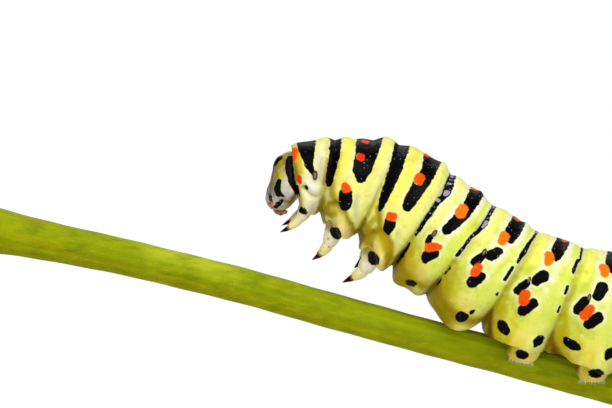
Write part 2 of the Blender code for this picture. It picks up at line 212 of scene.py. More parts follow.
ROD_PLACES = {"front": -30.0, "rear": 21.0}
ROD_RADIUS, COLLAR_RADIUS, COLLAR_HEIGHT, COLLAR_ROUND = 0.8 * MM, 1.5 * MM, 1.0 * MM, 0.25 * MM
PIN_GAP = 0.4 * MM  # from a rod's tip to the stem's middle line
NEAR = 0.01 * MM
collar_top = BASE_SIZE.z + COLLAR_HEIGHT
steel, tree, shader, place = finish_of("brushed_steel", 0.3, Metallic=1.0)
grain_place = add_node(tree, "Mapping", {"Vector": place, "Scale": (1.0, 1.0, 0.03)}).outputs[0]
grain = speckle(tree, grain_place, 0.06, 2.0)
colour = blended(tree, grain, paint(186, 187, 189), paint(214, 214, 214))
feed(tree, shader, Base_Color=colour, Roughness=spread(tree, grain, 0.3, 0.7, 0.24, 0.38))
emboss(tree, shader, grain, 0.004)
for word, x in ROD_PLACES.items():
    bpy.ops.mesh.primitive_cylinder_add(
        vertices=64, radius=COLLAR_RADIUS, depth=COLLAR_HEIGHT,
        location=(x * MM, 0, BASE_SIZE.z + COLLAR_HEIGHT / 2),
    )
    rod = begin_piece(f"rod_{word}")
    pick(rod, "FACE", lambda corners: all(c.z > collar_top - NEAR for c in corners))
    bpy.ops.mesh.inset(thickness=COLLAR_RADIUS - ROD_RADIUS)
    tip = stem_axis(x) * MM - PIN_GAP
    bpy.ops.mesh.extrude_region_move(TRANSFORM_OT_translate={"value": (0, 0, tip - collar_top)})

    def is_collar_rim(ends):
        outside = (ROD_RADIUS + COLLAR_RADIUS) / 2
        return all(abs(c.z - collar_top) < NEAR and math.hypot(c.x - x * MM, c.y) > outside for c in ends)

    pick(rod, "EDGE", is_collar_rim)
    bpy.ops.mesh.bevel(offset=COLLAR_ROUND, segments=5, affect="EDGES")
    end_piece(rod, steel, "stand_steel", f"stand_rod_{word}", smooth=BRIGHT_ANGLE)


# The perch is a short length cut from a fresh umbel stalk: green, faintly ribbed along its
# length, thicker towards the joint at its front end, with pale pith in both cut ends.
def lofted(name, points, **values):
    """A closed piece through rings of points, rolled from a grid. Its seam and ends are merged.
    The values are written to the piece as attributes, one number or colour for each point."""
    rows, columns = points.shape[:2]
    bpy.ops.mesh.primitive_grid_add(x_subdivisions=columns, y_subdivisions=rows - 1, size=1)
    piece = begin_piece(name)
    rolled = np.concatenate((points, points[:, :1]), axis=1)
    piece.data.vertices.foreach_set("co", rolled.astype(np.float32).ravel())
    for key, value in values.items():
        rolled = np.concatenate((value, value[:, :1]), axis=1)
        kind, field = "FLOAT", "value"
        if value.ndim == 3:
            rolled = np.concatenate((rolled, np.ones_like(rolled[..., :1])), axis=2)
            kind, field = "FLOAT_COLOR", "color"
        made = piece.data.attributes.new(key, kind, "POINT")
        made.data.foreach_set(field, rolled.astype(np.float32).ravel())
    bpy.ops.object.mode_set(mode="EDIT")
    bpy.ops.mesh.select_all(action="SELECT")
    bpy.ops.mesh.remove_doubles(threshold=0.001 * MM)
    bpy.ops.mesh.normals_make_consistent(inside=False)
    bpy.ops.object.mode_set(mode="OBJECT")
    return piece


STEM_FRONT, STEM_REAR = -31.1, 31.1
STEM_RADIUS, STEM_FLARE, FLARE_REACH = 1.13, 0.58, 3.2
STEM_STEPS, STEM_SIDES = 300, 96
STEM_RIBS, RIB_DEPTH, RIB_ROOM = 11, 0.022, 0.03
CUT_SHARES = (0.0, 0.45, 0.8, 0.93, 0.985, 1.0)  # rings of a cut face, from its middle to its rim
PITH_DEPTH, PITH_REACH = 0.1, 0.6
SCRATCHES = (  # x, and height above the middle line, in mm
    ((-28.1, 0.0), (-24.9, -0.24)), ((-27.6, 1.12), (-26.2, 1.06)),
)
SCRATCH_WIDTH = 0.1


def stem_radius(x):
    return STEM_RADIUS + STEM_FLARE * np.exp(-(x - STEM_FRONT) / FLARE_REACH)


def stem_points():
    """Rings of the stem with a turned-in rim, a cut face and a hollow in the pith at each end."""
    inward = np.array(CUT_SHARES)
    along = np.linspace(STEM_FRONT, STEM_REAR, STEM_STEPS)
    share = np.concatenate((inward, np.ones(STEM_STEPS), inward[::-1]))[:, None]
    x = np.concatenate((np.full(len(inward), STEM_FRONT), along, np.full(len(inward), STEM_REAR)))[:, None]
    sunk = PITH_DEPTH * bell(share / PITH_REACH) * np.where(x < 0, 1, -1) * (share < 1)
    turn = np.linspace(0, 2 * math.pi, STEM_SIDES, endpoint=False)
    slope = (stem_axis(x + 0.1) - stem_axis(x - 0.1)) / 0.2
    length = np.hypot(slope, 1)
    ribs = RIB_DEPTH * np.cos(STEM_RIBS * turn + 0.02 * x + 0.4)
    ribs += 0.012 * np.sin(0.8 * x + 3 * turn) + 0.01 * np.sin(2.1 * x - 2 * turn)
    radius = (stem_radius(x) - RIB_ROOM + ribs) * share
    up, side = np.cos(turn) * radius, np.sin(turn) * radius
    xs = x + sunk - up * (slope / length)
    zs = stem_axis(x) + sunk * slope + up / length
    shade = np.broadcast_to(np.cos(turn), up.shape)
    cut = np.broadcast_to((share < 0.99) * (1.0 - share * 0.6), up.shape)
    scratch = np.full(up.shape, -1.0)
    for start, end in np.array(SCRATCHES):
        place = np.stack((np.broadcast_to(x, up.shape), up), -1) - start
        run = end - start
        reached = np.clip(place @ run / (run @ run), 0, 1)
        near = SCRATCH_WIDTH - np.linalg.norm(place - reached[..., None] * run, axis=-1)
        scratch = np.maximum(scratch, np.where(side > 0, near, -1.0))
    return np.stack((xs, -side, zs), -1) * MM, shade, cut, scratch


def stretched(tree, place, scale, **turns):
    """The place drawn out, so that a pattern that reads it runs long where the scale is small."""
    return add_node(tree, "Mapping", {"Vector": place, "Scale": scale, **turns}).outputs[0]


def attribute(tree, name, kind="Fac"):
    """Values that were written to the piece's points."""
    return add_node(tree, "Attribute", attribute_name=name).outputs[kind]


def product(tree, first, *others):
    for other in others:
        first = maths(tree, "MULTIPLY", first, other)
    return first


def cells_of(tree, place, size):
    """A pattern of cells about size millimetres across."""
    return add_node(tree, "TexVoronoi", {"Vector": place, "Scale": 1 / (size * MM)}).outputs


def glazed(tree, colour, *glazes, veil=None):
    """A colour with paints over it. Each glaze is a cover, the cover's values where the paint starts
    and where it is full, the paint's share there, and the paint. A veil thins them all."""
    for cover, low, high, share, chart in glazes:
        share = spread(tree, cover, low, high, 0.0, share)
        share = share if veil is None else product(tree, veil, share)
        colour = blended(tree, share, colour, paint(*chart))
    return colour


points, stem_top, stem_cut, stem_scratch = stem_points()
stem = lofted("stem_stalk", points, top=stem_top, cut=stem_cut, scratch=stem_scratch)
stalk, tree, shader, place = finish_of(
    "green_stalk", 0.46, Subsurface_Weight=0.08, Subsurface_Scale=0.3 * MM,
    Subsurface_Radius=(0.9, 1.0, 0.3), Specular_IOR_Level=0.05,
)
along_stem = stretched(tree, place, (1, 1, 1), Rotation=(0, -STEM_FALL, 0))
fibres = speckle(tree, stretched(tree, along_stem, (0.035, 1, 1)), 0.16, 4.0)
coarse = speckle(tree, place, 2.4, 2.0)
mottle = speckle(tree, stretched(tree, place, (0.4, 1, 1)), 0.55, 4.0)
top = attribute(tree, "top")
upper = spread(tree, top, -0.25, 0.75)
x_place = add_node(tree, "SeparateXYZ", {"Vector": place}).outputs[0]
pale = product(
    tree, spread(tree, x_place, -21.0 * MM, -19.0 * MM), spread(tree, x_place, -13.0 * MM, -15.5 * MM),
    spread(tree, mottle, 0.3, 0.62, 0.35, 1.0), upper, 0.62,
)
# Painted light: the upper side of the stem is lightened from x -9.5 mm towards the rear, under the larva.
painted_top_light = product(tree, spread(tree, x_place, -9.5 * MM, -5.0 * MM, 0.0, 0.65), upper)
colour = blended(tree, spread(tree, top, -0.9, 0.8), paint(152, 152, 0), paint(148, 164, 0))
colour = glazed(
    tree, colour,
    (maths(tree, "ABSOLUTE", top), 0.6, 0.05, 0.45, (128, 150, 0)),
    (coarse, 0.4, 0.75, 0.5, (168, 178, 8)),
    (mottle, 0.52, 0.7, 0.6, (172, 178, 6)),
    (mottle, 0.48, 0.32, 0.5, (114, 130, 0)),
    (fibres, 0.5, 0.78, 0.35, (120, 136, 0)),
    (fibres, 0.42, 0.26, 0.3, (176, 184, 24)),
    (cells_of(tree, place, 0.22)["Distance"], 0.13, 0.06, 0.5, (212, 218, 110)),
)
colour = blended(tree, pale, colour, paint(200, 210, 50))
colour = blended(tree, painted_top_light, colour, paint(176, 190, 16))
colour = glazed(tree, colour, (attribute(tree, "scratch"), 0.0, 0.08, 0.7, (184, 146, 0)))
cut = attribute(tree, "cut")
pith = blended(tree, spread(tree, cut, 0.42, 0.6), paint(150, 168, 52), paint(222, 226, 170))
colour = blended(tree, spread(tree, cut, 0.02, 0.35), colour, pith)
feed(tree, shader, Base_Color=colour, Roughness=spread(tree, coarse, 0.3, 0.7, 0.5, 0.62))
emboss(tree, shader, maths(tree, "ADD", fibres, product(tree, speckle(tree, place, 0.12), 0.35)), 0.035)
end_piece(stem, stalk, "plant_stem", "perch_stem")


# The body is thirteen rings of soft skin in one piece, from the neck to the tail, with the fleshy
# prolegs of rings 6 to 9 and 13 drawn out of it. The model maker casts it in tinted silicone over
# a core, presses the folds in, and brushes and dabs the bands and spots on by hand.
RINGS = (  # length, fall and rear lean in degrees, rear height and width, in mm
    (2.03, 2.6, 12.5, 4.63, 4.9), (3.28, 16.6, 25.5, 5.9, 6.2), (3.29, 34.8, 33.0, 6.6, 6.9),
    (2.99, 37.3, 37.0, 6.95, 7.1), (3.52, 30.0, 31.0, 6.8, 7.1), (3.6, 18.5, 21.0, 6.45, 7.0),
    (4.05, 14.0, 13.5, 6.7, 7.0), (4.13, 15.0, 13.5, 6.6, 6.9), (4.0, 15.6, 15.6, 6.3, 6.6),
    (3.65, 16.5, 16.0, 5.8, 6.1), (3.0, 20.0, 17.0, 5.0, 5.2), (1.88, 24.0, 18.0, 4.1, 4.3),
    (2.13, 26.0, 18.0, 3.2, 3.4),
)
NECK_FOLD = (-10.56, 26.47, -7.5, 1.78, 2.0)  # x, z, lean, half-height, half-width
LAST = len(RINGS)
LENGTHS = np.array([row[0] for row in RINGS])
FOLD_PLACES = np.concatenate(([0], np.cumsum(LENGTHS)))  # along the body, in mm
SWELL_BACK, SWELL_BELLY = 0.2, 0.42
CREASE_BEFORE, CREASE_AFTER, CREASE_POWER = 0.22, 0.42, 1.3
TAIL_BLUNTNESS = 2.6
LOBES = (  # place in rings, degrees from the back, height, reach along and around, in mm
    (0.08, 146, 0.66, 0.35, 0.9), (0.34, 139, 0.6, 0.8, 0.8), (1.62, 141, 1.19, 0.9, 1.1),
    (1.2, 166, 0.3, 0.5, 1.1), (2.64, 140, 1.17, 0.95, 1.1), (2.15, 162, 0.52, 0.45, 1.1),
    (3.22, 158, 0.55, 1.0, 1.2), (3.5, 132, 0.45, 1.2, 1.3), (4.5, 134, 0.62, 1.4, 1.3),
    (4.66, 158, 0.8, 1.2, 1.1), (5.5, 134, 0.4, 1.4, 1.2), (6.5, 134, 0.4, 1.5, 1.2),
    (7.5, 134, 0.4, 1.5, 1.2), (8.5, 134, 0.4, 1.4, 1.2), (9.5, 128, 0.22, 1.2, 1.2),
    (10.5, 128, 0.18, 1.0, 1.1), (12.4, 132, 0.25, 0.8, 0.9),
)
# How much higher or lower the back's outline runs than the folds and ridges alone give: place in
# rings and rise in mm. RING_LINE repeats on each ring of the abdomen from the third on.
BACK_LINE = (
    (0.0, 0.04), (0.13, 0.04), (0.2, -0.05), (0.3, -0.1), (0.55, -0.13), (0.7, -0.06), (0.9, -0.08),
    (1.05, -0.03), (1.15, 0.0), (1.22, -0.09), (1.3, -0.18), (1.38, -0.05), (1.45, 0.0), (1.6, -0.01),
    (1.68, 0.19), (1.75, 0.3), (1.84, 0.17), (1.92, 0.14), (2.0, 0.2), (2.33, 0.2), (2.45, 0.27),
    (2.6, 0.26), (2.8, 0.28), (2.9, 0.12), (3.0, 0.11), (3.08, 0.14), (3.2, 0.04), (3.3, -0.02),
    (3.45, 0.04), (3.55, 0.11), (3.65, 0.19), (3.75, -0.03), (3.87, -0.22), (3.97, 0.0), (4.06, -0.03),
    (4.15, -0.09), (4.3, -0.05), (4.4, -0.07), (4.5, 0.03), (4.65, -0.02), (4.75, -0.01), (4.87, -0.21),
)
RING_LINE = (
    (0.0, 0.04), (0.1, -0.1), (0.22, -0.14), (0.38, -0.07), (0.5, 0.01), (0.68, 0.0), (0.84, -0.14),
    (0.93, -0.06),
)
BACK_TURN = math.radians(70)
# The belly has a channel that sits on the stem.
CHANNEL_DEPTH, CHANNEL_REACH, CHANNEL_START, CHANNEL_EASE = 0.75, 1.5, 4.5, 0.9
# Along the stem the belly hangs down on both sides of it like a skirt.
SKIRT_START, SKIRT_END, SKIRT_RISE, SKIRT_EASE = 4.965, 11.8, 0.24, 0.36
SKIRT_TURN, SKIRT_DEPTH, SKIRT_REACH = math.radians(147), 1.1, 1.0
SKIRT_DIP, FIRST_DIP, DIP_END = 0.5, 0.22, 0.44  # share by which it rises at the front of a ring


def fold_values():
    x, z = NECK_FOLD[:2]
    folds = [NECK_FOLD]
    for length, fall, lean, height, width in RINGS:
        x += length * math.cos(math.radians(fall))
        z -= length * math.sin(math.radians(fall))
        folds.append((x, z, lean, height / 2, width / 2))
    return np.array(folds)


FOLDS = fold_values()


def at(u):
    """A smooth curve through the folds: x, z, lean, half-height and half-width at place u."""
    u = np.clip(np.asarray(u, float), 0, LAST)
    k = np.minimum(u.astype(int), LAST - 1)
    t = (u - k)[..., None]
    padded = np.vstack((2 * FOLDS[0] - FOLDS[1], FOLDS, 2 * FOLDS[-1] - FOLDS[-2]))
    a, b, c, d = padded[k], padded[k + 1], padded[k + 2], padded[k + 3]
    return b + t * ((c - a) / 2 + t * (a - 2.5 * b + 2 * c - d / 2 + t * (1.5 * (b - c) + (d - a) / 2)))


def crease_at(u):
    """0 in a fold between two rings, rising to 1 away from it."""
    k = np.minimum(u.astype(int), LAST - 1)
    behind = np.maximum(u - k, 0) * LENGTHS[k]
    before = np.where(k == LAST - 1, math.inf, np.maximum(k + 1 - u, 0) * LENGTHS[k])
    rise = 1 - np.exp(-((behind / CREASE_AFTER) ** CREASE_POWER))
    return rise * (1 - np.exp(-((before / CREASE_BEFORE) ** CREASE_POWER)))


def eased(share):
    """A share from 0 to 1 that starts and ends softly."""
    return share * share * (3 - 2 * share)


def swelling(u, turn):
    """How far the skin stands out from the line through the folds, in mm, at a turn in radians."""
    crease = crease_at(u)
    out = (SWELL_BACK + (SWELL_BELLY - SWELL_BACK) * (1 - np.cos(turn)) / 2) * crease
    radius = at(u)[..., 3]
    for place, degrees, height, along, around in LOBES:
        a = (u - place) * LENGTHS[int(place)] / along
        b = (turn - math.radians(degrees)) * radius / around
        out = out + height * bell(a) * bell(b) * crease
    line = [*BACK_LINE, *((k + f, rise) for k in range(5, LAST) for f, rise in RING_LINE)]
    rise = np.interp(u, *np.array(line).T)
    out = out + rise * np.cos(np.minimum(turn / BACK_TURN, 1) * math.pi / 2) ** 2
    start = np.clip((u - CHANNEL_START) / CHANNEL_EASE, 0, 1)
    off_middle = (math.pi - turn) * radius / CHANNEL_REACH
    out = out - CHANNEL_DEPTH * eased(start) * bell(off_middle)
    hang = np.clip((u - SKIRT_START) / SKIRT_RISE, 0, 1) * np.clip((SKIRT_END - u) / SKIRT_EASE, 0, 1)
    off_hem = (turn - SKIRT_TURN) * radius / SKIRT_REACH
    share = u - np.minimum(u.astype(int), LAST - 1)
    dip = np.where(share < DIP_END, np.sin(math.pi * share / DIP_END) ** 2, 0.0)
    dip = dip * np.where(u < 6, FIRST_DIP, SKIRT_DIP)
    return out + SKIRT_DEPTH * hang * bell(off_hem) * (1 - dip)


def links(stroke):
    """Pairs of neighbouring dabs of a stroke. A stroke of one dab pairs with itself."""
    return zip(stroke, stroke[1:] or stroke)


FAR = 9.0  # further outside than any stroke reaches, in mm
SKIN_RISE = 0.25  # of the skin over the curve through the folds, on average, in mm


def inside(stroke, u, turn):
    """How far inside a brush stroke the skin lies, in mm. A stroke is a chain of round dabs, each
    with its place in rings, its degrees from the back and its radius in mm."""
    along = np.interp(u, np.arange(LAST + 1), FOLD_PLACES)
    radius = at(u)[..., 3] + SKIN_RISE
    best = np.full(np.broadcast(u, turn).shape, -FAR)
    for (place, degrees, dab), (next_place, next_degrees, next_dab) in links(stroke):
        start, end = np.interp((place, next_place), np.arange(LAST + 1), FOLD_PLACES)
        a, b = along - start, (turn - math.radians(degrees)) * radius
        run, rise = end - start, math.radians(next_degrees - degrees) * radius
        share = np.clip((a * run + b * rise) / np.maximum(run * run + rise * rise, 1e-9), 0, 1)
        off = np.hypot(a - share * run, b - share * rise)
        best = np.maximum(best, dab + (next_dab - dab) * share - off)
    return best


def spaced(start, end, steps, crowding):
    """Places from start to end, closer together where the crowding function is higher."""
    fine = np.linspace(start, end, 20000)
    total = np.cumsum(crowding(fine))
    return np.interp(np.linspace(total[0], total[-1], steps), total, fine)


FEET = (  # place in rings, lean in degrees, size
    (5.5, 12.0, 1.0), (6.5, 3.0, 1.0), (7.5, 8.0, 1.0), (8.5, 14.0, 0.96), (12.25, 3.0, 1.12),
)


# Points lie closer together near the folds, near the feet and at the hem of the belly.
FOLD_CROWD, FOLD_NEAR, FOOT_CROWD, FOOT_NEAR = 0.9, 0.35, 0.5, 1.5
HEM_CROWD, HEM_DEGREES, HEM_SPREAD = 0.9, 146, 26


def row_crowding(u):
    k = np.minimum(u.astype(int), LAST - 1)
    off_fold = np.minimum(u - k, k + 1 - u) * LENGTHS[k]
    foot = sum(bell(((u - place) * LENGTHS[int(place)] / FOOT_NEAR) ** 2) for place, _, _ in FEET)
    return LENGTHS[k] * (1 + FOLD_CROWD * bell(off_fold / FOLD_NEAR) + FOOT_CROWD * foot)


def column_crowding(turn):
    return 1 + HEM_CROWD * bell((np.degrees(turn) - HEM_DEGREES) / HEM_SPREAD)


ROWS, COLUMNS = 462, 212
rows = spaced(0.0, float(LAST), ROWS, row_crowding)
half = spaced(0.0, math.pi, COLUMNS // 2 + 1, column_crowding)
angles = np.concatenate((half, -half[-2:0:-1]))
u, angle = np.meshgrid(rows, angles, indexing="ij")
turn = np.abs(angle)
degrees = np.degrees(turn)
ring = np.minimum(u.astype(int), LAST - 1)

# The finer forms of the skin: ridges round each ring, the U-shaped fold round each walking leg, the
# lens-shaped folds before them, and a slight unevenness.
RIDGES = ((0.21, 0.11, 0.1), (0.84, 0.09, 0.11), (0.56, 0.16, -0.05))  # share of a ring, softness, height
RIDGE_HEM, RIDGE_HEM_EASE, BELLY_SHARE = 125, 40, 0.25  # they grow weaker towards the belly
RIDGE_END, RIDGE_END_EASE, FIRST_SHARE = LAST - 0.3, 1.5, 0.5  # and the tail, and on the first ring
ridges = sum(height * bell((u - ring - share) / soft) for share, soft, height in RIDGES)
ridges = ridges * np.clip((RIDGE_HEM - degrees) / RIDGE_HEM_EASE, BELLY_SHARE, 1)
ridges = ridges * np.clip((RIDGE_END - u) / RIDGE_END_EASE, 0, 1) * np.where(ring == 0, FIRST_SHARE, 1.0)
CRESTS = (  # stroke, height and softness in mm; the first four are grooves
    (((0.26, 111, 0), (0.45, 117, 0), (0.62, 122, 0), (0.86, 124, 0)), -0.2, 0.15),
    (((1.12, 146, 0), (1.2, 127, 0), (1.33, 121, 0), (1.57, 124, 0), (1.8, 133, 0),
      (1.95, 154, 0)), -0.2, 0.17),
    (((2.08, 176, 0), (2.13, 149, 0), (2.25, 135, 0), (2.33, 129, 0), (2.52, 123, 0), (2.71, 125, 0),
      (2.87, 138, 0)), -0.24, 0.19),
    (((2.25, 135, 0), (2.29, 124, 0), (2.21, 114, 0)), -0.1, 0.1),
    (((0.4, 104, 0), (0.56, 110, 0), (0.76, 112, 0)), 0.1, 0.2),
    (((1.14, 140, 0), (1.25, 134, 0), (1.46, 132, 0), (1.67, 136, 0), (1.82, 148, 0),
      (1.86, 154, 0)), 0.24, 0.3),
    (((2.2, 158, 0), (2.33, 140, 0), (2.48, 132, 0), (2.68, 134, 0), (2.81, 146, 0),
      (2.85, 154, 0)), 0.26, 0.3),
    (((2.03, 142, 0), (2.07, 128, 0), (2.12, 119, 0)), 0.2, 0.16),
)
SOCKETS = (  # hollows that the legs stand in: stroke, depth and softness in mm
    (((1.48, 158, 0.36), (1.44, 180, 0.5)), 0.5, 0.26),
    (((2.48, 157, 0.38), (2.42, 180, 0.5)), 0.55, 0.26),
)


def raised(strokes, depth_in):
    """The height of soft crests along strokes, given how deep each point lies in a stroke."""
    return sum(height * bell(depth_in(stroke) / soft) for stroke, height, soft in strokes)


fine = ridges * crease_at(u) + raised(CRESTS, lambda stroke: inside(stroke, u, turn))
for stroke, depth, soft in SOCKETS:
    fine = fine - depth / (1 + np.exp(-inside(stroke, u, turn) / (soft / 2)))
WAVES, WAVE_LENGTHS, WAVE_SUM, LUMP_HEIGHT = 36, (0.7, 2.4), 8.5, 0.022
rng = np.random.default_rng(7)
waves = rng.normal(size=(WAVES, 3))
waves *= (2 * math.pi / rng.uniform(*WAVE_LENGTHS, WAVES) / np.linalg.norm(waves, axis=1))[:, None]
phases = rng.uniform(0, 2 * math.pi, WAVES)


def unevenness(points):
    """Small soft lumps, from about -1 to 1, that follow no pattern. Points are in mm."""
    return sum(np.sin(points @ wave + phase) for wave, phase in zip(waves, phases)) / WAVE_SUM


def skin(u, angle, out):
    """Points of the body's surface in mm. The angle runs from the back towards the left side."""
    x, z, lean, high, wide = np.moveaxis(at(u), -1, 0)
    lean = np.radians(lean)
    blunt = np.clip(u - (LAST - 1), 0, 1)
    close = np.sqrt(np.clip(1 - blunt**TAIL_BLUNTNESS, 0, 1))
    grown = swelling(u, np.abs(angle)) + out
    up, side = np.cos(angle) * (high + grown) * close, np.sin(angle) * (wide + grown) * close
    return np.stack((x + up * np.sin(lean), -side, z + up * np.cos(lean)), -1)


points = skin(u, angle, fine)
points = skin(u, angle, fine + LUMP_HEIGHT * unevenness(points) * crease_at(u))

# Each proleg is drawn out of a patch of the belly. From the patch's middle out, a row says where
# on the patch it lies, then its depth, half-length and half-thickness as a share of the foot's.
FOOT_TURN, PATCH_ALONG, PATCH_AROUND, PATCH_RISE = math.radians(155), 1.34, 0.86, 0.3
FOOT_SHAPE = np.array((
    (0.0, 0.985, 0.0, 0.0), (0.16, 1.0, 0.27, 0.24), (0.28, 0.995, 0.5, 0.44),
    (0.4, 0.965, 0.74, 0.6), (0.52, 0.915, 0.93, 0.7), (0.64, 0.85, 1.04, 0.76),
    (0.75, 0.785, 1.1, 0.77), (0.83, 0.745, 1.05, 0.7),
))
FOOT_ROOT, FOOT_SOLE, ROOT_SPREAD, SOLE_SPREAD = 0.4, 1.02, 0.6, 1.76
FOOT_INSET = 0.1  # by which the scene's feet lie nearer to the middle than the solid ones, in mm
FOOT_SPOTS = (  # rear of the foot's middle, below the body's, half-width and half-height in mm, tilt
    (0.16, 4.24, 0.45, 0.29, 0), (-1.51, 2.48, 0.62, 0.3, 29), (0.83, 2.94, 0.45, 0.27, -66),
)
FIRST_FOOT_SPOTS = (
    (-0.08, 4.33, 0.44, 0.28, 4), (-1.6, 2.86, 0.52, 0.32, 47), (0.68, 3.22, 0.45, 0.27, -62),
)
SPOT_REACH = 4.87  # reach of the foot that the spots' places were taken on, in mm
OUTER_Y, OUTER_ALONG, OUTER_IN = 1.2, 1.6, 0.15  # limits of a foot's outer face, which has the spots
WARM_EDGE, WARM_EASE = 0.68, 0.2  # of the warmer colour, as a share of a foot's patch


def oval(across, drop, half_wide, half_high, tilt):
    """How far inside an oval spot each point lies, in mm. The tilt turns its rear end down."""
    along = across * math.cos(math.radians(tilt)) + drop * math.sin(math.radians(tilt))
    off = drop * math.cos(math.radians(tilt)) - across * math.sin(math.radians(tilt))
    return (1 - np.hypot(along / half_wide, off / half_high)) * min(half_wide, half_high)


def foot_frame(place, lean):
    """The body's middle above a foot, the ways down and to the rear, and the foot's reach to the stem."""
    x, z = at(place)[:2]
    lean = math.radians(lean)
    down = np.array((-math.sin(lean), 0, -math.cos(lean)))
    rear = np.array((math.cos(lean), 0, -math.sin(lean)))
    reach = next(r for r in np.arange(0, 9, 0.01) if z + down[2] * r < stem_axis(x + down[0] * r))
    return np.array((x, 0, z)), down, rear, reach


def foot_away(place, depth):
    """How far out from the middle a foot runs at a depth, which is a share of its reach, in mm."""
    slide = (depth - FOOT_ROOT) / (FOOT_SOLE - FOOT_ROOT)
    return ROOT_SPREAD * at(place)[4] * (1 - slide) + SOLE_SPREAD * slide - FOOT_INSET


foot_black = np.full(u.shape, -1.0)
foot_share = np.zeros(u.shape)
for place, lean, size in FEET:
    heart, down, rear, reach = foot_frame(place, lean)
    a = (u - place) * LENGTHS[int(place)] / (PATCH_ALONG * size)
    b = (turn - FOOT_TURN) * (at(place)[3] + PATCH_RISE) / (PATCH_AROUND * size)
    off = np.hypot(a, b)
    ahead, inward = a / np.maximum(off, 1e-6), b / np.maximum(off, 1e-6)
    depth, half_long, half_thick = (np.interp(off, FOOT_SHAPE[:, 0], FOOT_SHAPE[:, i]) for i in (1, 2, 3))
    foot = heart + down * (reach * depth)[..., None] + rear * (half_long * size * ahead)[..., None]
    foot[..., 1] = -np.sign(angle) * (foot_away(place, depth) - half_thick * size * inward)
    edge = FOOT_SHAPE[-1, 0]
    join = eased(np.clip((off - edge) / (1 - edge), 0, 1))[..., None]
    points = np.where((off < 1)[..., None], foot * (1 - join) + points * join, points)
    drop, slip = (points - heart) @ down, (points - heart) @ rear
    outside = (np.abs(points[..., 1]) > OUTER_Y) & (np.abs(a) < OUTER_ALONG) & (inward < OUTER_IN)
    for spot_slip, spot_drop, *shape in FIRST_FOOT_SPOTS if place < 6 else FOOT_SPOTS:
        spot = oval(slip / size - spot_slip, drop - spot_drop * reach / SPOT_REACH, *shape)
        foot_black = np.maximum(foot_black, np.where(outside, spot, -1.0))
    foot_share = np.maximum(foot_share, np.clip((WARM_EDGE - off) / WARM_EASE, 0, 1))

# The belly and the soles are pressed clear of the stem that they grip.
STEM_GAP = 0.015
height = (points[..., 2] - stem_axis(points[..., 0])) * math.cos(STEM_FALL)
away = np.hypot(height, points[..., 1])
clear = stem_radius(points[..., 0]) + STEM_GAP
push = np.where((away < clear) & (u > 4), clear / np.maximum(away, 1e-6), 1.0)
points[..., 1] *= push
points[..., 2] += height * (push - 1) / math.cos(STEM_FALL)

# Neck and tail close on a point each. The neck's is hidden in the head.
neck = points[:1].mean(axis=1, keepdims=True)
points = np.concatenate((np.broadcast_to(neck, points[:1].shape), points), axis=0)
points[-1] = points[-1].mean(axis=0)

# The black bands and spots, as brush strokes, ring by ring.
THORAX_BLACK = (
    ((0.365, 0, 0.45), (0.365, 38, 0.45), (0.41, 60, 0.36), (0.465, 78, 0.25), (0.56, 88, 0.13),
     (0.62, 92, 0.12)),
    ((0.37, 110.5, 0.13), (0.39, 112.5, 0.13)),
    ((0.03, 114, 0.1), (0.03, 130, 0.12)),
    ((1.0, 0, 0.27), (1.012, 20, 0.26), (1.055, 60, 0.28), (1.056, 100, 0.24)),
    ((1.53, 0, 0.56), (1.54, 35, 0.59), (1.575, 60, 0.51), (1.585, 74, 0.47), (1.62, 84, 0.28)),
    ((1.46, 109, 0.42), (1.5, 115, 0.42)),
    ((2.033, 0, 0.37), (2.035, 18, 0.37), (2.062, 40, 0.355), (2.102, 60, 0.337), (2.128, 80, 0.3),
     (2.155, 98, 0.24), (2.18, 107, 0.12)),
    ((2.59, 0, 0.47), (2.58, 20, 0.49), (2.625, 40, 0.41), (2.61, 62, 0.4), (2.6, 80, 0.38),
     (2.6, 88, 0.28)),
    ((2.48, 112, 0.38), (2.49, 117, 0.33)),
    ((3.02, 0, 0.2), (3.03, 25, 0.2), (3.075, 42, 0.22), (3.085, 52, 0.2), (3.04, 66, 0.14),
     (3.035, 80, 0.135), (3.03, 98, 0.12), (3.03, 107, 0.06)),
    ((3.03, 118, 0.05), (3.04, 130, 0.09), (3.04, 150, 0.06)),
)
FRONT_ABDOMEN_BLACK = (
    ((3.6, 0, 0.36), (3.575, 20, 0.43), (3.6, 42, 0.38), (3.61, 58, 0.33), (3.555, 72, 0.34),
     (3.5, 83, 0.28)),
    ((3.31, 98, 0.16), (3.33, 103, 0.2)),
    ((3.49, 114, 0.34), (3.6, 107, 0.26)),
    ((4.03, 0, 0.14), (4.03, 40, 0.13), (4.055, 54, 0.17), (4.03, 66, 0.13), (3.99, 74, 0.1),
     (3.99, 97, 0.1)),
    ((4.02, 109, 0.05), (4.02, 120, 0.04)),
    ((4.03, 127, 0.06), (4.03, 137, 0.04)),
    ((4.58, 0, 0.48), (4.575, 44, 0.5), (4.62, 54, 0.28)),
    ((4.55, 72, 0.27), (4.48, 79, 0.33)),
    ((4.35, 84, 0.22), (4.32, 92, 0.29)),
    ((4.54, 101, 0.27), (4.48, 109, 0.33)),
    ((4.745, 131, 0.1), (4.745, 133, 0.1)),
    ((5.01, 0, 0.1), (5.0, 20, 0.1), (4.975, 36, 0.09), (4.955, 50, 0.15), (4.945, 62, 0.16),
     (4.93, 72, 0.1)),
    ((4.905, 79, 0.1), (4.9, 93, 0.11)),
    ((4.92, 107, 0.07), (4.92, 110, 0.07)),
    ((5.6, 0, 0.5), (5.575, 24, 0.52), (5.54, 40, 0.5), (5.55, 50, 0.34)),
    ((5.47, 76, 0.41), (5.4, 82, 0.36)),
    ((5.25, 89, 0.28), (5.2, 97, 0.31)),
    ((5.52, 105, 0.32), (5.43, 113, 0.35)),
)
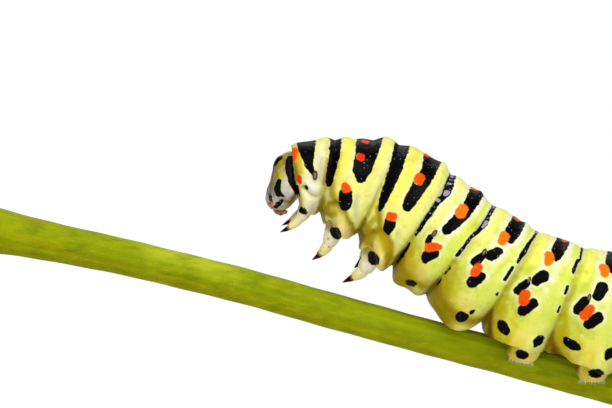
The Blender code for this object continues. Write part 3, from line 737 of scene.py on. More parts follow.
# From the fourth ring of the abdomen on each ring repeats one pattern: place as a share of the
# ring, degrees from the back, and radius in mm on a ring of full size.
RING_BLACK = (
    ((0.01, 0, 0.08), (0.01, 40, 0.09), (-0.035, 48, 0.13), (-0.045, 62, 0.13)),
    ((-0.06, 79, 0.09), (-0.06, 86, 0.08)),
    ((-0.07, 100, 0.05), (-0.07, 106, 0.06)),
    ((0.6, 0, 0.5), (0.57, 24, 0.52), (0.55, 40, 0.46), (0.57, 48, 0.3)),
    ((0.48, 72, 0.42), (0.45, 80, 0.37)),
    ((0.27, 89, 0.32), (0.22, 98, 0.34)),
    ((0.55, 102, 0.33), (0.46, 109, 0.36)),
)
TAIL_BLACK = (
    ((12.0, 0, 0.08), (12.0, 60, 0.08)), ((12.4, 0, 0.26), (12.42, 34, 0.24)),
    ((12.45, 62, 0.22), (12.52, 74, 0.2)), ((12.25, 104, 0.16), (12.35, 110, 0.16)),
)
# The orange spots: each is a stroke and the colour it is dabbed in.
ORANGE, EMBER, SCARLET = paint(250, 124, 6), paint(247, 82, 6), paint(245, 42, 8)
THORAX_ORANGE = (
    (((0.04, 32, 0.15), (0.07, 42, 0.18), (0.04, 54, 0.15), (0.03, 62, 0.09)), EMBER),
    (((0.12, 96, 0.16), (0.15, 104, 0.16)), SCARLET),
    (((1.48, 19, 0.18), (1.485, 25, 0.17)), SCARLET),
    (((1.485, 55, 0.24), (1.5, 58, 0.22)), SCARLET),
    (((1.4, 99, 0.26), (1.44, 101, 0.26)), EMBER),
    (((2.43, 0, 0.17), (2.53, 3, 0.16), (2.45, 15, 0.16)), EMBER),
    (((2.55, 52, 0.28), (2.54, 58, 0.29)), EMBER),
    (((2.41, 107, 0.26), (2.48, 105, 0.26)), EMBER),
)
FRONT_ABDOMEN_ORANGE = (
    (((3.45, 0, 0.2), (3.62, 3, 0.19), (3.48, 14, 0.2)), EMBER),
    (((3.53, 54, 0.33), (3.535, 61, 0.35)), ORANGE),
    (((3.39, 107, 0.25), (3.5, 102.5, 0.28), (3.59, 100, 0.19)), EMBER),
    (((4.48, 0, 0.25), (4.62, 3, 0.23), (4.52, 16, 0.25)), EMBER),
    (((4.49, 53, 0.33), (4.5, 61, 0.3)), ORANGE),
    (((4.41, 95, 0.26), (4.41, 100, 0.31)), EMBER),
    (((5.56, 0, 0.24), (5.69, 3, 0.23), (5.6, 13, 0.23)), EMBER),
    (((5.41, 51, 0.36), (5.44, 55, 0.38), (5.45, 60, 0.27)), ORANGE),
    (((5.33, 99, 0.32), (5.36, 105, 0.33)), EMBER),
)
RING_ORANGE = (
    (((0.56, 0, 0.24), (0.68, 3, 0.23), (0.6, 12, 0.23)), EMBER),
    (((0.43, 48, 0.38), (0.46, 51, 0.38), (0.47, 56, 0.28)), ORANGE),
    (((0.4, 95.5, 0.3), (0.35, 103, 0.32)), EMBER),
)
LILAC_BARS = (
    ((3.05, 34, 0.13),), ((3.09, 47, 0.14), (3.09, 52, 0.13)), ((3.03, 62, 0.12),), ((3.03, 88, 0.06),),
    ((3.0, 104, 0.06),), ((4.03, 5, 0.08), (4.03, 18, 0.08)), ((4.03, 35, 0.07),),
    ((4.06, 49, 0.11), (4.06, 57, 0.1)), ((3.99, 80, 0.06),), ((5.01, 6, 0.07), (5.0, 18, 0.06)),
    ((3.04, 71, 0.07),), ((3.03, 79, 0.06),), ((3.03, 96, 0.06),), ((4.03, 26, 0.07),), ((4.04, 43, 0.07),),
    ((4.0, 70, 0.06),), ((3.99, 89, 0.06),), ((3.02, 8, 0.1), (3.02, 16, 0.1)), ((3.03, 25, 0.09),),
    ((4.96, 57, 0.07),), ((4.9, 88, 0.05),), ((6.01, 8, 0.06),), ((5.96, 57, 0.06),),
)


def moved(stroke, ring_index):
    """A stroke of the repeated pattern set on one ring, a little different on each."""
    size = min(1.0, FOLDS[ring_index + 1][3] / 3.3) * (1 + 0.05 * math.sin(2.3 * ring_index + len(stroke)))
    drift = 0.012 * math.sin(1.7 * ring_index + 5 * stroke[0][1])
    return tuple((ring_index + f + drift, d + 60 * drift, r * size) for f, d, r in stroke)


black_strokes = [*THORAX_BLACK, *FRONT_ABDOMEN_BLACK, *TAIL_BLACK]
orange_strokes = [*THORAX_ORANGE, *FRONT_ABDOMEN_ORANGE]
for index in range(6, LAST - 1):
    black_strokes += [moved(stroke, index) for stroke in RING_BLACK]
    orange_strokes += [(moved(stroke, index), colour) for stroke, colour in RING_ORANGE]
LEG_SPOTS = (  # x, z, half-width and half-height in mm, tilt in degrees
    (-10.07, 24.17, 0.33, 0.21, 42), (-8.04, 22.8, 0.33, 0.42, -38), (-5.72, 21.24, 0.33, 0.47, -24),
)
BELLY_SPOTS = ((-3.4, 19.72, 0.34, 0.21, 16), (-0.28, 17.66, 0.41, 0.34, 0))


BRUSH_REACH, WASH_REACH = 0.6, 0.7  # past a stroke's ends, in rings


def rows_near(stroke, reach):
    """The rows of the skin that lie within reach of a stroke, in rings."""
    places = [dab[0] for dab in stroke]
    return slice(*np.searchsorted(rows, (min(places) - reach, max(places) + reach)))


def brushed(strokes):
    """The greatest depth inside any of the strokes, and which stroke it is, on all the skin."""
    depth, which = np.full(u.shape, -1.0), np.zeros(u.shape, int)
    for number, stroke in enumerate(strokes):
        near = rows_near(stroke, BRUSH_REACH)
        now = inside(stroke, u[near], turn[near])
        which[near] = np.where(now > depth[near], number, which[near])
        depth[near] = np.maximum(depth[near], now)
    return depth, which


# The black runs a little wider than its strokes on the first rings, but not in the folds.
BLACK_SPREAD, FOLD_SPREAD = ((0.9, 1.1, 4.4, 4.9), (0.01, 0.035, 0.03, 0.01)), 0.008
FOLDS_FROM, FOLD_HALF, FOLD_EASE = 2.6, 0.16, 0.06  # in rings
black, _ = brushed(black_strokes)
grown = np.interp(u, *BLACK_SPREAD)
in_fold = np.clip((FOLD_HALF - np.abs(u - np.rint(u))) / FOLD_EASE, 0, 1) * (u > FOLDS_FROM)
black = np.maximum(black, foot_black) + grown + in_fold * (FOLD_SPREAD - grown)
for x, z, half_wide, half_high, tilt in LEG_SPOTS + BELLY_SPOTS:
    spot = oval(points[1:, :, 0] - x, z - points[1:, :, 2], half_wide, half_high, tilt)
    black = np.maximum(black, np.where((turn > 2.0) & (np.abs(points[1:, :, 1]) > 0.7), spot, -1.0))
orange, which = brushed([stroke for stroke, _ in orange_strokes])
lilac, _ = brushed(LILAC_BARS)
orange_colour = np.array([colour for _, colour in orange_strokes])[which]
# Orange lies over black except where the two only touch.
black = np.where(orange > 0.02, np.minimum(black, -orange), black)

# The ground colours are laid as soft washes: a stroke, a colour, its softness in mm and strength. Some
# washes are painted light and shade, as marked.
BLOSSOM, LEMON, MILK = (254, 245, 98), (250, 254, 130), (246, 250, 232)
# Painted shade for the folds, on the abdomen and on the thorax.
FOLD_SHADE_PAINT, THORAX_FOLD_SHADE_PAINT = (112, 90, 2), (166, 146, 40)
WASHES = [  # stroke, colour, softness in mm, strength
    (((0.5, 100, 0.6), (0.5, 178, 1.0)), (246, 242, 226), 0.5, 0.95),
    (((0.08, 28, 0.2), (0.14, 58, 0.2), (0.18, 88, 0.16)), (238, 202, 22), 0.16, 0.95),
    (((0.12, 44, 0.12), (0.1, 60, 0.12)), (250, 150, 10), 0.12, 0.9),
    # Painted highlight on the top front of the first ring.
    (((0.04, 0, 0.1), (0.07, 26, 0.1)), (242, 214, 206), 0.08, 0.9),
    (((0.1, 112, 0.22), (0.22, 128, 0.4), (0.3, 144, 0.4)), (255, 248, 176), 0.3, 0.95),
    (((0.36, 96, 0.14), (0.44, 92, 0.14)), (244, 232, 160), 0.16, 0.7),
    # Painted shadow along the groove low on the first ring.
    (((0.26, 111, 0.05), (0.45, 117, 0.07), (0.62, 122, 0.07), (0.8, 124, 0.05)),
     (200, 180, 124), 0.08, 0.8),
    # Painted highlight on the crest above that groove.
    (((0.42, 104, 0.08), (0.58, 112, 0.1), (0.7, 114, 0.08)), (250, 248, 240), 0.08, 0.85),
    (((0.62, 132, 0.2), (0.72, 142, 0.26)), (222, 212, 196), 0.18, 0.8),
    (((0.84, 30, 0.08), (0.87, 58, 0.1)), (212, 192, 140), 0.1, 0.7),
    (((0.8, 138, 0.18), (0.86, 156, 0.22)), (236, 228, 206), 0.14, 0.9),
    (((0.04, 68, 0.08), (0.04, 84, 0.15), (0.05, 102, 0.15)), (138, 96, 6), 0.11, 0.9),
    (((0.18, 70, 0.08), (0.18, 82, 0.1)), (200, 180, 44), 0.1, 0.85),
    (((0.12, 112, 0.06), (0.24, 112, 0.07), (0.38, 114, 0.05)), (176, 154, 62), 0.08, 0.85),
    # Painted light on the lower lobe of the first ring, which faces down and away from the lamps.
    (((0.2, 132, 0.14), (0.3, 134, 0.22), (0.55, 130, 0.22)), (255, 249, 190), 0.2, 0.9),
    (((0.05, 134, 0.14), (0.12, 146, 0.18)), (246, 218, 100), 0.12, 0.9),
    (((0.06, 122, 0.12), (0.1, 178, 0.25)), (186, 168, 50), 0.14, 0.8),
    (((0.74, 0, 0.18), (0.74, 36, 0.18)), (246, 250, 150), 0.12, 0.9),
    (((0.74, 40, 0.16), (0.77, 66, 0.14)), (250, 250, 196), 0.12, 0.9),
    (((0.66, 58, 0.12), (0.7, 80, 0.12)), (230, 228, 196), 0.1, 0.8),
    (((0.8, 66, 0.08), (0.81, 82, 0.12), (0.83, 98, 0.12)), (196, 188, 176), 0.14, 0.88),
    # Painted shadow along the fold in front of the second ring.
    (((0.93, 66, 0.06), (0.94, 104, 0.08)), (150, 122, 60), 0.08, 0.85),
    (((0.92, 110, 0.08), (0.93, 130, 0.1)), (206, 192, 150), 0.1, 0.75),
    (((1.24, 0, 0.28), (1.24, 80, 0.28)), BLOSSOM, 0.14, 0.95),
    # Painted shade on the front of the second ring.
    (((1.14, 58, 0.12), (1.13, 84, 0.2), (1.14, 104, 0.24)), (208, 184, 44), 0.2, 0.9),
    (((1.28, 92, 0.13), (1.38, 95, 0.12)), (252, 224, 84), 0.12, 0.85),
    (((1.12, 102, 0.18), (1.2, 114, 0.28), (1.32, 120, 0.2), (1.48, 121, 0.12)),
     (166, 142, 20), 0.18, 0.92),
    (((1.375, 44, 0.05), (1.4, 88, 0.06)), (244, 232, 220), 0.06, 0.8),
    (((1.84, 0, 0.22), (1.86, 60, 0.22)), LEMON, 0.14, 0.95),
    (((1.84, 66, 0.22), (1.84, 104, 0.22)), (240, 236, 122), 0.2, 0.85),
    (((1.92, 36, 0.14), (1.92, 104, 0.15)), (255, 255, 176), 0.08, 0.95),
    (((1.68, 106, 0.12), (1.72, 116, 0.2), (1.8, 124, 0.16)), (204, 202, 152), 0.14, 0.9),
    (((1.1, 112, 0.09), (1.12, 122, 0.11)), (218, 206, 196), 0.07, 0.85),
    # Painted shade on the lower front of the second ring, darkest low down.
    (((1.06, 128, 0.2), (1.07, 178, 0.5)), (150, 128, 16), 0.16, 0.9),
    (((1.04, 147, 0.12), (1.12, 152, 0.16), (1.26, 157, 0.16)), (124, 100, 16), 0.1, 0.88),
    (((1.5, 132, 0.35), (1.5, 178, 0.9)), (214, 196, 110), 0.2, 0.9),
    # The U-shaped fold round the leg: painted shade in its groove and below its crest, a painted highlight
    # on the crest.
    (((1.12, 146, 0.1), (1.2, 127, 0.14), (1.36, 121, 0.13), (1.57, 124, 0.1), (1.8, 133, 0.1),
      (1.95, 154, 0.1)), (136, 112, 2), 0.1, 0.92),
    (((1.16, 142, 0.2), (1.26, 135, 0.26), (1.38, 130, 0.18)), (158, 136, 4), 0.14, 0.94),
    (((1.4, 134, 0.07), (1.5, 131, 0.12), (1.59, 133, 0.15), (1.7, 136, 0.15), (1.79, 142, 0.14),
      (1.87, 151, 0.12)), (250, 222, 146), 0.08, 0.95),
    (((1.3, 150, 0.04), (1.38, 142, 0.05), (1.52, 139, 0.05), (1.66, 143, 0.05), (1.73, 154, 0.04)),
     (168, 146, 34), 0.06, 0.8),
    (((2.3, 0, 0.28), (2.3, 96, 0.26)), BLOSSOM, 0.14, 0.95),
    (((2.12, 90, 0.1), (2.16, 106, 0.16)), (214, 196, 70), 0.14, 0.8),
    (((2.15, 108, 0.18), (2.24, 116, 0.26), (2.36, 122, 0.2), (2.56, 121, 0.12)),
     (156, 132, 8), 0.16, 0.92),
    (((2.74, 116, 0.16), (2.8, 128, 0.18)), (204, 188, 84), 0.14, 0.75),
    (((2.93, 18, 0.13), (2.92, 92, 0.15)), (252, 254, 172), 0.08, 0.95),
    (((2.415, 22, 0.05), (2.415, 46, 0.06)), (244, 236, 226), 0.06, 0.8),
    (((2.86, 0, 0.24), (2.84, 60, 0.24)), LEMON, 0.14, 0.95),
    (((2.82, 64, 0.24), (2.8, 108, 0.24)), (244, 246, 116), 0.2, 0.9),
    (((2.72, 112, 0.16), (2.76, 122, 0.18)), (222, 226, 150), 0.12, 0.8),
    # Painted shade on the lower front of the third ring.
    (((2.06, 132, 0.2), (2.08, 178, 0.5)), (140, 118, 8), 0.16, 0.9),
    (((2.12, 139, 0.16), (2.14, 127, 0.2), (2.17, 117, 0.14)), (184, 172, 44), 0.08, 0.9),
    # Painted highlight on the crest of the lens-shaped fold.
    (((1.98, 128, 0.07), (2.02, 122, 0.08), (2.09, 115, 0.06)), (240, 230, 110), 0.05, 0.9),
    (((2.5, 136, 0.35), (2.5, 178, 0.9)), (206, 188, 100), 0.2, 0.9),
    # The U-shaped fold round the third leg: painted shade in its groove and in the shadow of its crest, a
    # painted highlight on the crest.
    (((2.08, 176, 0.1), (2.15, 149, 0.15), (2.27, 134, 0.16), (2.38, 127, 0.16), (2.53, 124, 0.15),
      (2.71, 126, 0.16), (2.84, 136, 0.17), (2.92, 160, 0.15)), (140, 116, 2), 0.1, 0.95),
    (((2.32, 127, 0.14), (2.46, 125, 0.16), (2.62, 127, 0.2), (2.74, 128, 0.18), (2.88, 138, 0.16)),
     (180, 150, 4), 0.1, 0.9),
    (((2.16, 134, 0.18), (2.24, 143, 0.28), (2.36, 137, 0.22)), (168, 143, 6), 0.14, 0.94),
    (((2.43, 133, 0.1), (2.52, 135, 0.15), (2.63, 137, 0.16), (2.74, 138, 0.15), (2.83, 147, 0.12)),
     (252, 220, 132), 0.08, 0.95),
    (((2.93, 126, 0.08), (2.93, 150, 0.1)), (232, 228, 186), 0.08, 0.8),
]
RING_WASHES = [
    # Painted shade: olive just behind each fold, on the front face of the ring.
    (((0.05, 10, 0.13), (0.05, 70, 0.13)), (208, 208, 8), 0.12, 0.88),
    (((0.05, 76, 0.14), (0.05, 108, 0.16)), (172, 168, 16), 0.12, 0.8),
    (((0.19, 0, 0.28), (0.19, 66, 0.28)), (254, 255, 106), 0.16, 0.9),
    (((0.2, 74, 0.24), (0.2, 104, 0.28)), (210, 212, 66), 0.2, 0.85),
    (((0.33, 0, 0.22), (0.33, 46, 0.22)), (255, 252, 196), 0.16, 0.85),
    # Painted highlights along the top of the back of each ring.
    (((0.12, 0, 0.6), (0.34, 0, 0.62)), (255, 254, 240), 0.22, 0.9),
    (((0.86, 0, 0.56), (0.78, 0, 0.6)), (253, 255, 240), 0.22, 0.85),
    (((0.36, 62, 0.24), (0.38, 72, 0.2)), (254, 246, 190), 0.18, 0.85),
    (((0.78, 0, 0.22), (0.76, 54, 0.24)), (252, 255, 208), 0.16, 0.92),
    (((0.64, 60, 0.26), (0.66, 78, 0.2)), (253, 254, 208), 0.18, 0.9),
    (((0.6, 84, 0.2), (0.64, 92, 0.16)), (248, 250, 190), 0.16, 0.8),
    (((0.93, 14, 0.15), (0.93, 50, 0.17)), (232, 250, 40), 0.12, 0.9),
    (((0.92, 56, 0.18), (0.91, 108, 0.2)), (230, 250, 34), 0.14, 0.9),
    (((0.8, 92, 0.26), (0.8, 116, 0.28)), (226, 236, 98), 0.2, 0.85),
    (((0.34, 108, 0.3), (0.46, 116, 0.3)), (214, 208, 80), 0.2, 0.8),
    (((0.62, 120, 0.22), (0.7, 126, 0.22)), (240, 234, 112), 0.18, 0.85),
    # Painted light and shade on the lower side of each ring: olive and ochre shade at the front, golden and
    # then pale towards the rear, where light falls.
    (((0.08, 110, 0.2), (0.14, 124, 0.36)), (182, 168, 6), 0.2, 0.88),
    (((0.24, 112, 0.14), (0.36, 118, 0.14)), (190, 180, 40), 0.2, 0.75),
    (((0.34, 124, 0.14), (0.44, 128, 0.14)), (214, 190, 46), 0.16, 0.85),
    (((0.1, 134, 0.36), (0.16, 178, 0.65)), (174, 146, 0), 0.22, 0.95),
    (((0.42, 136, 0.2), (0.44, 178, 0.4)), (202, 172, 16), 0.2, 0.9),
    (((0.58, 132, 0.28), (0.6, 178, 0.45)), (250, 222, 84), 0.2, 0.92),
    (((0.73, 134, 0.2), (0.75, 178, 0.3)), (255, 246, 146), 0.18, 0.9),
    (((0.9, 126, 0.18), (0.9, 178, 0.28)), (216, 212, 132), 0.2, 0.85),
]
FRONT_ABDOMEN_WASHES = [
    (((3.2, 0, 0.3), (3.22, 84, 0.3)), (255, 254, 150), 0.2, 0.85),
    (((3.4, 62, 0.14), (3.38, 88, 0.14)), MILK, 0.12, 0.8),
    (((3.93, 20, 0.12), (3.93, 56, 0.14)), (246, 248, 140), 0.1, 0.85),
    # The olive lower sides of the first two abdominal rings: their own yellow, deepened by painted shade.
    (((3.1, 122, 0.26), (3.3, 128, 0.32), (3.8, 133, 0.24)), (196, 172, 30), 0.26, 0.85),
    (((3.06, 138, 0.36), (3.9, 142, 0.34)), (166, 142, 4), 0.22, 0.95),
    (((3.36, 154, 0.9), (3.44, 178, 1.1)), (166, 142, 4), 0.3, 0.97),
    # Painted highlight on the lower side of the ring.
    (((3.54, 127, 0.22), (3.66, 130, 0.2)), (236, 212, 120), 0.2, 0.85),
    (((3.93, 132, 0.1), (3.93, 176, 0.14)), (210, 206, 130), 0.1, 0.8),
    (((4.2, 0, 0.26), (4.22, 90, 0.26)), (252, 254, 134), 0.2, 0.7),
    (((4.1, 110, 0.22), (4.16, 122, 0.4), (4.24, 130, 0.36)), (180, 164, 16), 0.26, 0.9),
    (((4.06, 138, 0.36), (4.9, 142, 0.32)), (160, 136, 4), 0.22, 0.95),
    (((4.36, 152, 0.9), (4.44, 178, 1.1)), (160, 136, 4), 0.3, 0.97),
    # Painted highlight on the lower side of the ring.
    (((4.52, 126, 0.24), (4.62, 129, 0.2)), (244, 222, 120), 0.2, 0.85),
    (((3.5, 168, 0.4), (3.5, 178, 0.8)), (236, 226, 190), 0.25, 0.6),
    (((4.3, 170, 0.4), (4.3, 178, 0.8)), (226, 216, 170), 0.25, 0.5),
]
# In front of each middle proleg the belly slopes up into a hem, painted ochre and then dark brown as
# shadow.
HEM_SHADOW_WASHES = (
    (((0.05, 124, 0.16), (0.18, 132, 0.26), (0.3, 140, 0.24)), (186, 168, 2), 0.18, 0.92),
    (((0.02, 134, 0.1), (0.12, 143, 0.26), (0.24, 149, 0.26), (0.33, 159, 0.3), (0.34, 170, 0.45)),
     (104, 74, 0), 0.12, 0.96),
)


def set_on(washes, index):
    """Washes of a repeated pattern, set on one ring."""
    return [(tuple((index + f, d, r) for f, d, r in stroke), *rest) for stroke, *rest in washes]


def washed(chart, depth, colour, soft, strength):
    """The chart under one soft wash. Its depth says how far inside the stroke each point lies."""
    cover = strength / (1 + np.exp(-2.2 * depth / soft))
    return chart + cover[..., None] * (np.array(colour, float) - chart)


for index in range(3, LAST):
    WASHES += set_on(RING_WASHES, index)
WASHES += FRONT_ABDOMEN_WASHES
for index in range(5, 9):
    WASHES += set_on(HEM_SHADOW_WASHES, index)
# Each fold gets painted shade, darker on the abdomen, with a yellower band on the sides just behind it.
for index in range(1, LAST):
    shade = FOLD_SHADE_PAINT if index > 2 else THORAX_FOLD_SHADE_PAINT
    WASHES += set_on((
        (((0, 84, 0.02), (0, 112, 0.05)), (150, 142, 40), 0.1, 0.5),
        (((0.02, 100, 0.08), (0.02, 124, 0.12)), (190, 186, 0), 0.1, 0.8 if index > 4 else 0.4),
        (((0, 129, 0.09), (0, 138, 0.12), (0, 176, 0.14)), shade, 0.11, 0.92),
    ), index)
THORAX_GROUND, ABDOMEN_GROUND = (249.0, 246.0, 138.0), (228.0, 238.0, 90.0)
chart = np.where((ring < 3)[..., None], THORAX_GROUND, ABDOMEN_GROUND)
for stroke, *wash in WASHES:
    near = rows_near(stroke, WASH_REACH)
    chart[near] = washed(chart[near], inside(stroke, u[near], turn[near]), *wash)
# A pale halo runs round the black and orange marks of the abdomen, and the feet are warmer.
HALO, HALO_SHARE, HALO_REACH = (255.0, 254.0, 236.0), 0.7, 0.22
HALO_START, HALO_EASE, HALO_HEM, HALO_HEM_EASE = 2.9, 0.2, 118, 20
FOOT_TINT, TINT_SHARE = (240.0, 212.0, 100.0), 0.7
halo = HALO_SHARE * bell(np.minimum(np.maximum(black, orange), 0) / HALO_REACH)
halo = halo * np.clip((u - HALO_START) / HALO_EASE, 0, 1)
halo = halo * np.clip((HALO_HEM - degrees) / HALO_HEM_EASE, 0, 1)
chart += halo[..., None] * (np.array(HALO) - chart)
chart += (foot_share * TINT_SHARE)[..., None] * (np.array(FOOT_TINT) - chart)
tone = linear(chart)


def with_neck(values):
    """The values with one more row before them, for the point that closes the neck."""
    return np.concatenate((values[:1], values), axis=0)


# The pale dots on the black are painted glints; more of them lie near the middle of the back.
GLINT_BACK_REACH = 42  # reach of the paler dots from the middle of the back, in degrees
marks = {"tone": tone, "black": black, "orange": orange, "orange_colour": orange_colour, "lilac": lilac}
marks |= {"crease": crease_at(u), "back": bell(degrees / GLINT_BACK_REACH)}
body = lofted("body_skin", points * MM, **{name: with_neck(values) for name, values in marks.items()})
supple, tree, shader, place = finish_of(
    "larva_skin", 0.44, Subsurface_Weight=0.12, Subsurface_Scale=0.35 * MM,
    Subsurface_Radius=(1.0, 0.8, 0.22), Specular_IOR_Level=0.05,
)


def brushed_edge(tree, place, name, soft=0.025):
    """Turns a painted depth into a mask whose edge wavers a little, as one laid by hand does."""
    waver = product(tree, maths(tree, "SUBTRACT", speckle(tree, place, 0.32), 0.5), 0.2)
    return spread(tree, maths(tree, "ADD", attribute(tree, name), waver), -soft, soft)


ground = attribute(tree, "tone", "Color")
light = spread(tree, add_node(tree, "SeparateColor", {"Color": ground}).outputs[1], 0.1, 0.75)
blotches, flecks = speckle(tree, place, 0.9), speckle(tree, place, 0.42, 2.0)
cells = cells_of(tree, place, 0.17)["Distance"]
ground = glazed(tree, ground, (blotches, 0.52, 0.8, 0.25, (252, 252, 190)), veil=light)
ground = glazed(tree, ground, (blotches, 0.48, 0.2, 0.35, (196, 192, 36)))
# Pale flecks and cells on the lighter skin: partly its own mottling, partly painted glints.
ground = glazed(tree, ground, (flecks, 0.55, 0.85, 0.35, (255, 254, 206)), veil=light)
ground = glazed(tree, ground, (flecks, 0.45, 0.24, 0.18, (150, 160, 20)))
ground = glazed(tree, ground, (cells, 0.28, 0.05, 0.12, (255, 255, 226)), veil=light)
# Painted shade: the colour darkens towards olive in the folds between the rings.
ground = glazed(tree, ground, (attribute(tree, "crease"), 0.5, 0.0, 0.35, (128, 116, 18)))
grain = speckle(tree, place, 0.16)
spot_colour = attribute(tree, "orange_colour", "Color")
spot_colour = glazed(tree, spot_colour, (grain, 0.45, 0.8, 0.45, (255, 158, 24)))
# Painted glints: sparse pale dots on the black, more near the back. The same dots also raise the relief.
dots = cells_of(tree, place, 0.19)
chance = add_node(tree, "SeparateColor", {"Color": dots["Color"]}).outputs[0]
chance = maths(tree, "ADD", chance, product(tree, attribute(tree, "back"), 0.55))
tip = product(tree, spread(tree, dots["Distance"], 0.23, 0.12), spread(tree, chance, 0.88, 0.93))
ink = blended(tree, spread(tree, grain, 0.5, 0.8), paint(4, 2, 3), paint(16, 10, 14))
ink = blended(tree, brushed_edge(tree, place, "lilac", 0.03), ink, paint(168, 156, 184))
ink = blended(tree, product(tree, tip, 0.8), ink, paint(196, 190, 200))
banded = brushed_edge(tree, place, "black")
colour = blended(tree, banded, ground, ink)
colour = blended(tree, brushed_edge(tree, place, "orange", 0.045), colour, spot_colour)
dry = spread(tree, blotches, 0.3, 0.7, 0.42, 0.54)
feed(tree, shader, Base_Color=colour, Roughness=maths(tree, "SUBTRACT", dry, product(tree, banded, 0.16)))
relief = maths(tree, "ADD", speckle(tree, place, 0.45, 4.0), product(tree, cells, -0.3))
relief = maths(tree, "ADD", relief, product(tree, tip, banded, 0.9))
emboss(tree, shader, relief, 0.045)
flesh_nodes = [f"thorax_{n}" for n in (1, 2, 3)] + [f"abdomen_{n}" for n in range(1, 11)]
flesh_nodes += [f"proleg_{n}_{word}" for n in (3, 4, 5, 6, 10) for word in ("left", "right")]
end_piece(body, supple, "larva_skin", *flesh_nodes)


# Each fleshy foot grips with a fringe of fine pale bristles round the outer edge of its sole. They
# are tapered nylon tips, set one by one and bent a little outward.
def join_all(pieces, name):
    bpy.ops.object.select_all(action="DESELECT")
    for piece in pieces:
        piece.select_set(True)
    bpy.context.view_layer.objects.active = pieces[0]
    bpy.ops.object.join()
    return begin_piece(name)


BRISTLES, BRISTLE_LENGTH, BRISTLE_RADIUS, BRISTLE_TIP = 21, 0.34, 0.018, 0.25
BRISTLE_DEPTH, BRISTLE_LONG, BRISTLE_THICK, BRISTLE_INSET = 0.955, 0.78, 0.63, 0.06
SPLAY_LONG, SPLAY_OUT, SPLAY_CHANCE = 0.38, 0.25, 0.08
FRINGE_FRONT, FRINGE_TURN = -66, 134  # where a fringe starts and how far it runs, in degrees
PATCH_SIZE = 0.003  # of each bristle's own place on the unwrap of the skin
nylon, tree, shader, place = finish_of("foot_bristle", 0.4)
colour = blended(tree, speckle(tree, place, 0.2), paint(240, 232, 196), paint(252, 250, 236))
feed(tree, shader, Base_Color=colour)
bristles = []
for place, lean, size in FEET:
    heart, down, rear, reach = foot_frame(place, lean)
    away = foot_away(place, BRISTLE_DEPTH)
    for side in (-1, 1):
        for number in range(BRISTLES):
            swing = FRINGE_FRONT + FRINGE_TURN * number / (BRISTLES - 1) + rng.uniform(-2, 2)
            swing = math.radians(swing)
            root = heart + down * reach * BRISTLE_DEPTH + rear * BRISTLE_LONG * size * math.sin(swing)
            root[1] = side * (away + BRISTLE_THICK * size * math.cos(swing) - BRISTLE_INSET)
            aim = down + rear * (SPLAY_LONG * math.sin(swing) + rng.uniform(-SPLAY_CHANCE, SPLAY_CHANCE))
            aim[1] += side * SPLAY_OUT * math.cos(swing)
            aim /= np.linalg.norm(aim)
            long = BRISTLE_LENGTH * rng.uniform(0.8, 1.1)
            bpy.ops.mesh.primitive_cone_add(
                vertices=6, radius1=BRISTLE_RADIUS * MM, radius2=BRISTLE_TIP * BRISTLE_RADIUS * MM,
                depth=long * MM, location=(root + aim * long / 2) * MM,
                rotation=Vector(aim).to_track_quat("Z", "Y").to_euler(),
            )
            bristle = begin_piece("bristle")
            patch = bristle.data.uv_layers[0]
            patch.name = "OFBake"
            spots = np.empty(2 * len(patch.data))
            patch.data.foreach_get("uv", spots)
            home = place + 0.3 * math.sin(swing) / LENGTHS[int(place)]
            home = np.array((home / LAST, 0.5 + side * 0.4))
            patch.data.foreach_set("uv", (home + PATCH_SIZE * (spots.reshape(-1, 2) - 0.5)).ravel())
            bristles.append(bristle)
fringe = join_all(bristles, "foot_bristles")
end_piece(fringe, nylon, "larva_skin")


# The head is a hard egg-shaped shell with a seam down its face. It is cast apart from the body,
# pushed over the neck, and painted olive and grey with black bars.
HEAD_X, HEAD_Z = -10.81, 25.44
HEAD_FORWARD, HEAD_BACK, HEAD_UP, HEAD_DOWN, HEAD_SIDE = 1.5, 0.7, 2.48, 1.29, 1.85
CHIN_FORWARD, CHIN_EASE = 0.48, 0.5  # lean of the lower half per mm of depth, and its start in mm
SEAM_SPLIT, SEAM_ARM = 18.0, 30.0  # where the seam forks, and how far its arms part, in degrees


def head_point(azimuth, height, out=0.0):
    """Points of the head in mm. The azimuth runs from straight ahead to the left, both in degrees."""
    azimuth, height = np.radians(azimuth), np.radians(height)
    reach_up = np.where(height > 0, HEAD_UP, HEAD_DOWN) + out
    reach = np.where(np.cos(azimuth) > 0, HEAD_FORWARD, HEAD_BACK) + out
    level = np.cos(height)
    rise = reach_up * np.sin(height)
    lean = CHIN_FORWARD * np.minimum(rise, 0) * np.clip(-rise / CHIN_EASE, 0, 1)
    x = HEAD_X - reach * level * np.cos(azimuth) + lean
    return np.stack((x, -(HEAD_SIDE + out) * level * np.sin(azimuth), HEAD_Z + rise), -1)


def on_head(stroke, points):
    """How far inside a stroke on the head each point lies, in mm. Each dab of a stroke holds its
    azimuth and height in degrees and its radius in mm."""
    points = points * np.array((1.0, 0.0, 1.0)) - np.abs(points * np.array((0.0, 1.0, 0.0)))
    best = np.full(points.shape[:-1], -FAR)
    for (turn, height, dab), (next_turn, next_height, next_dab) in links(stroke):
        start = head_point(turn, height)
        run = head_point(next_turn, next_height) - start
        share = np.clip((points - start) @ run / max(run @ run, 1e-9), 0, 1)
        off = np.linalg.norm(points - start - share[..., None] * run, axis=-1)
        best = np.maximum(best, dab + (next_dab - dab) * share - off)
    return best


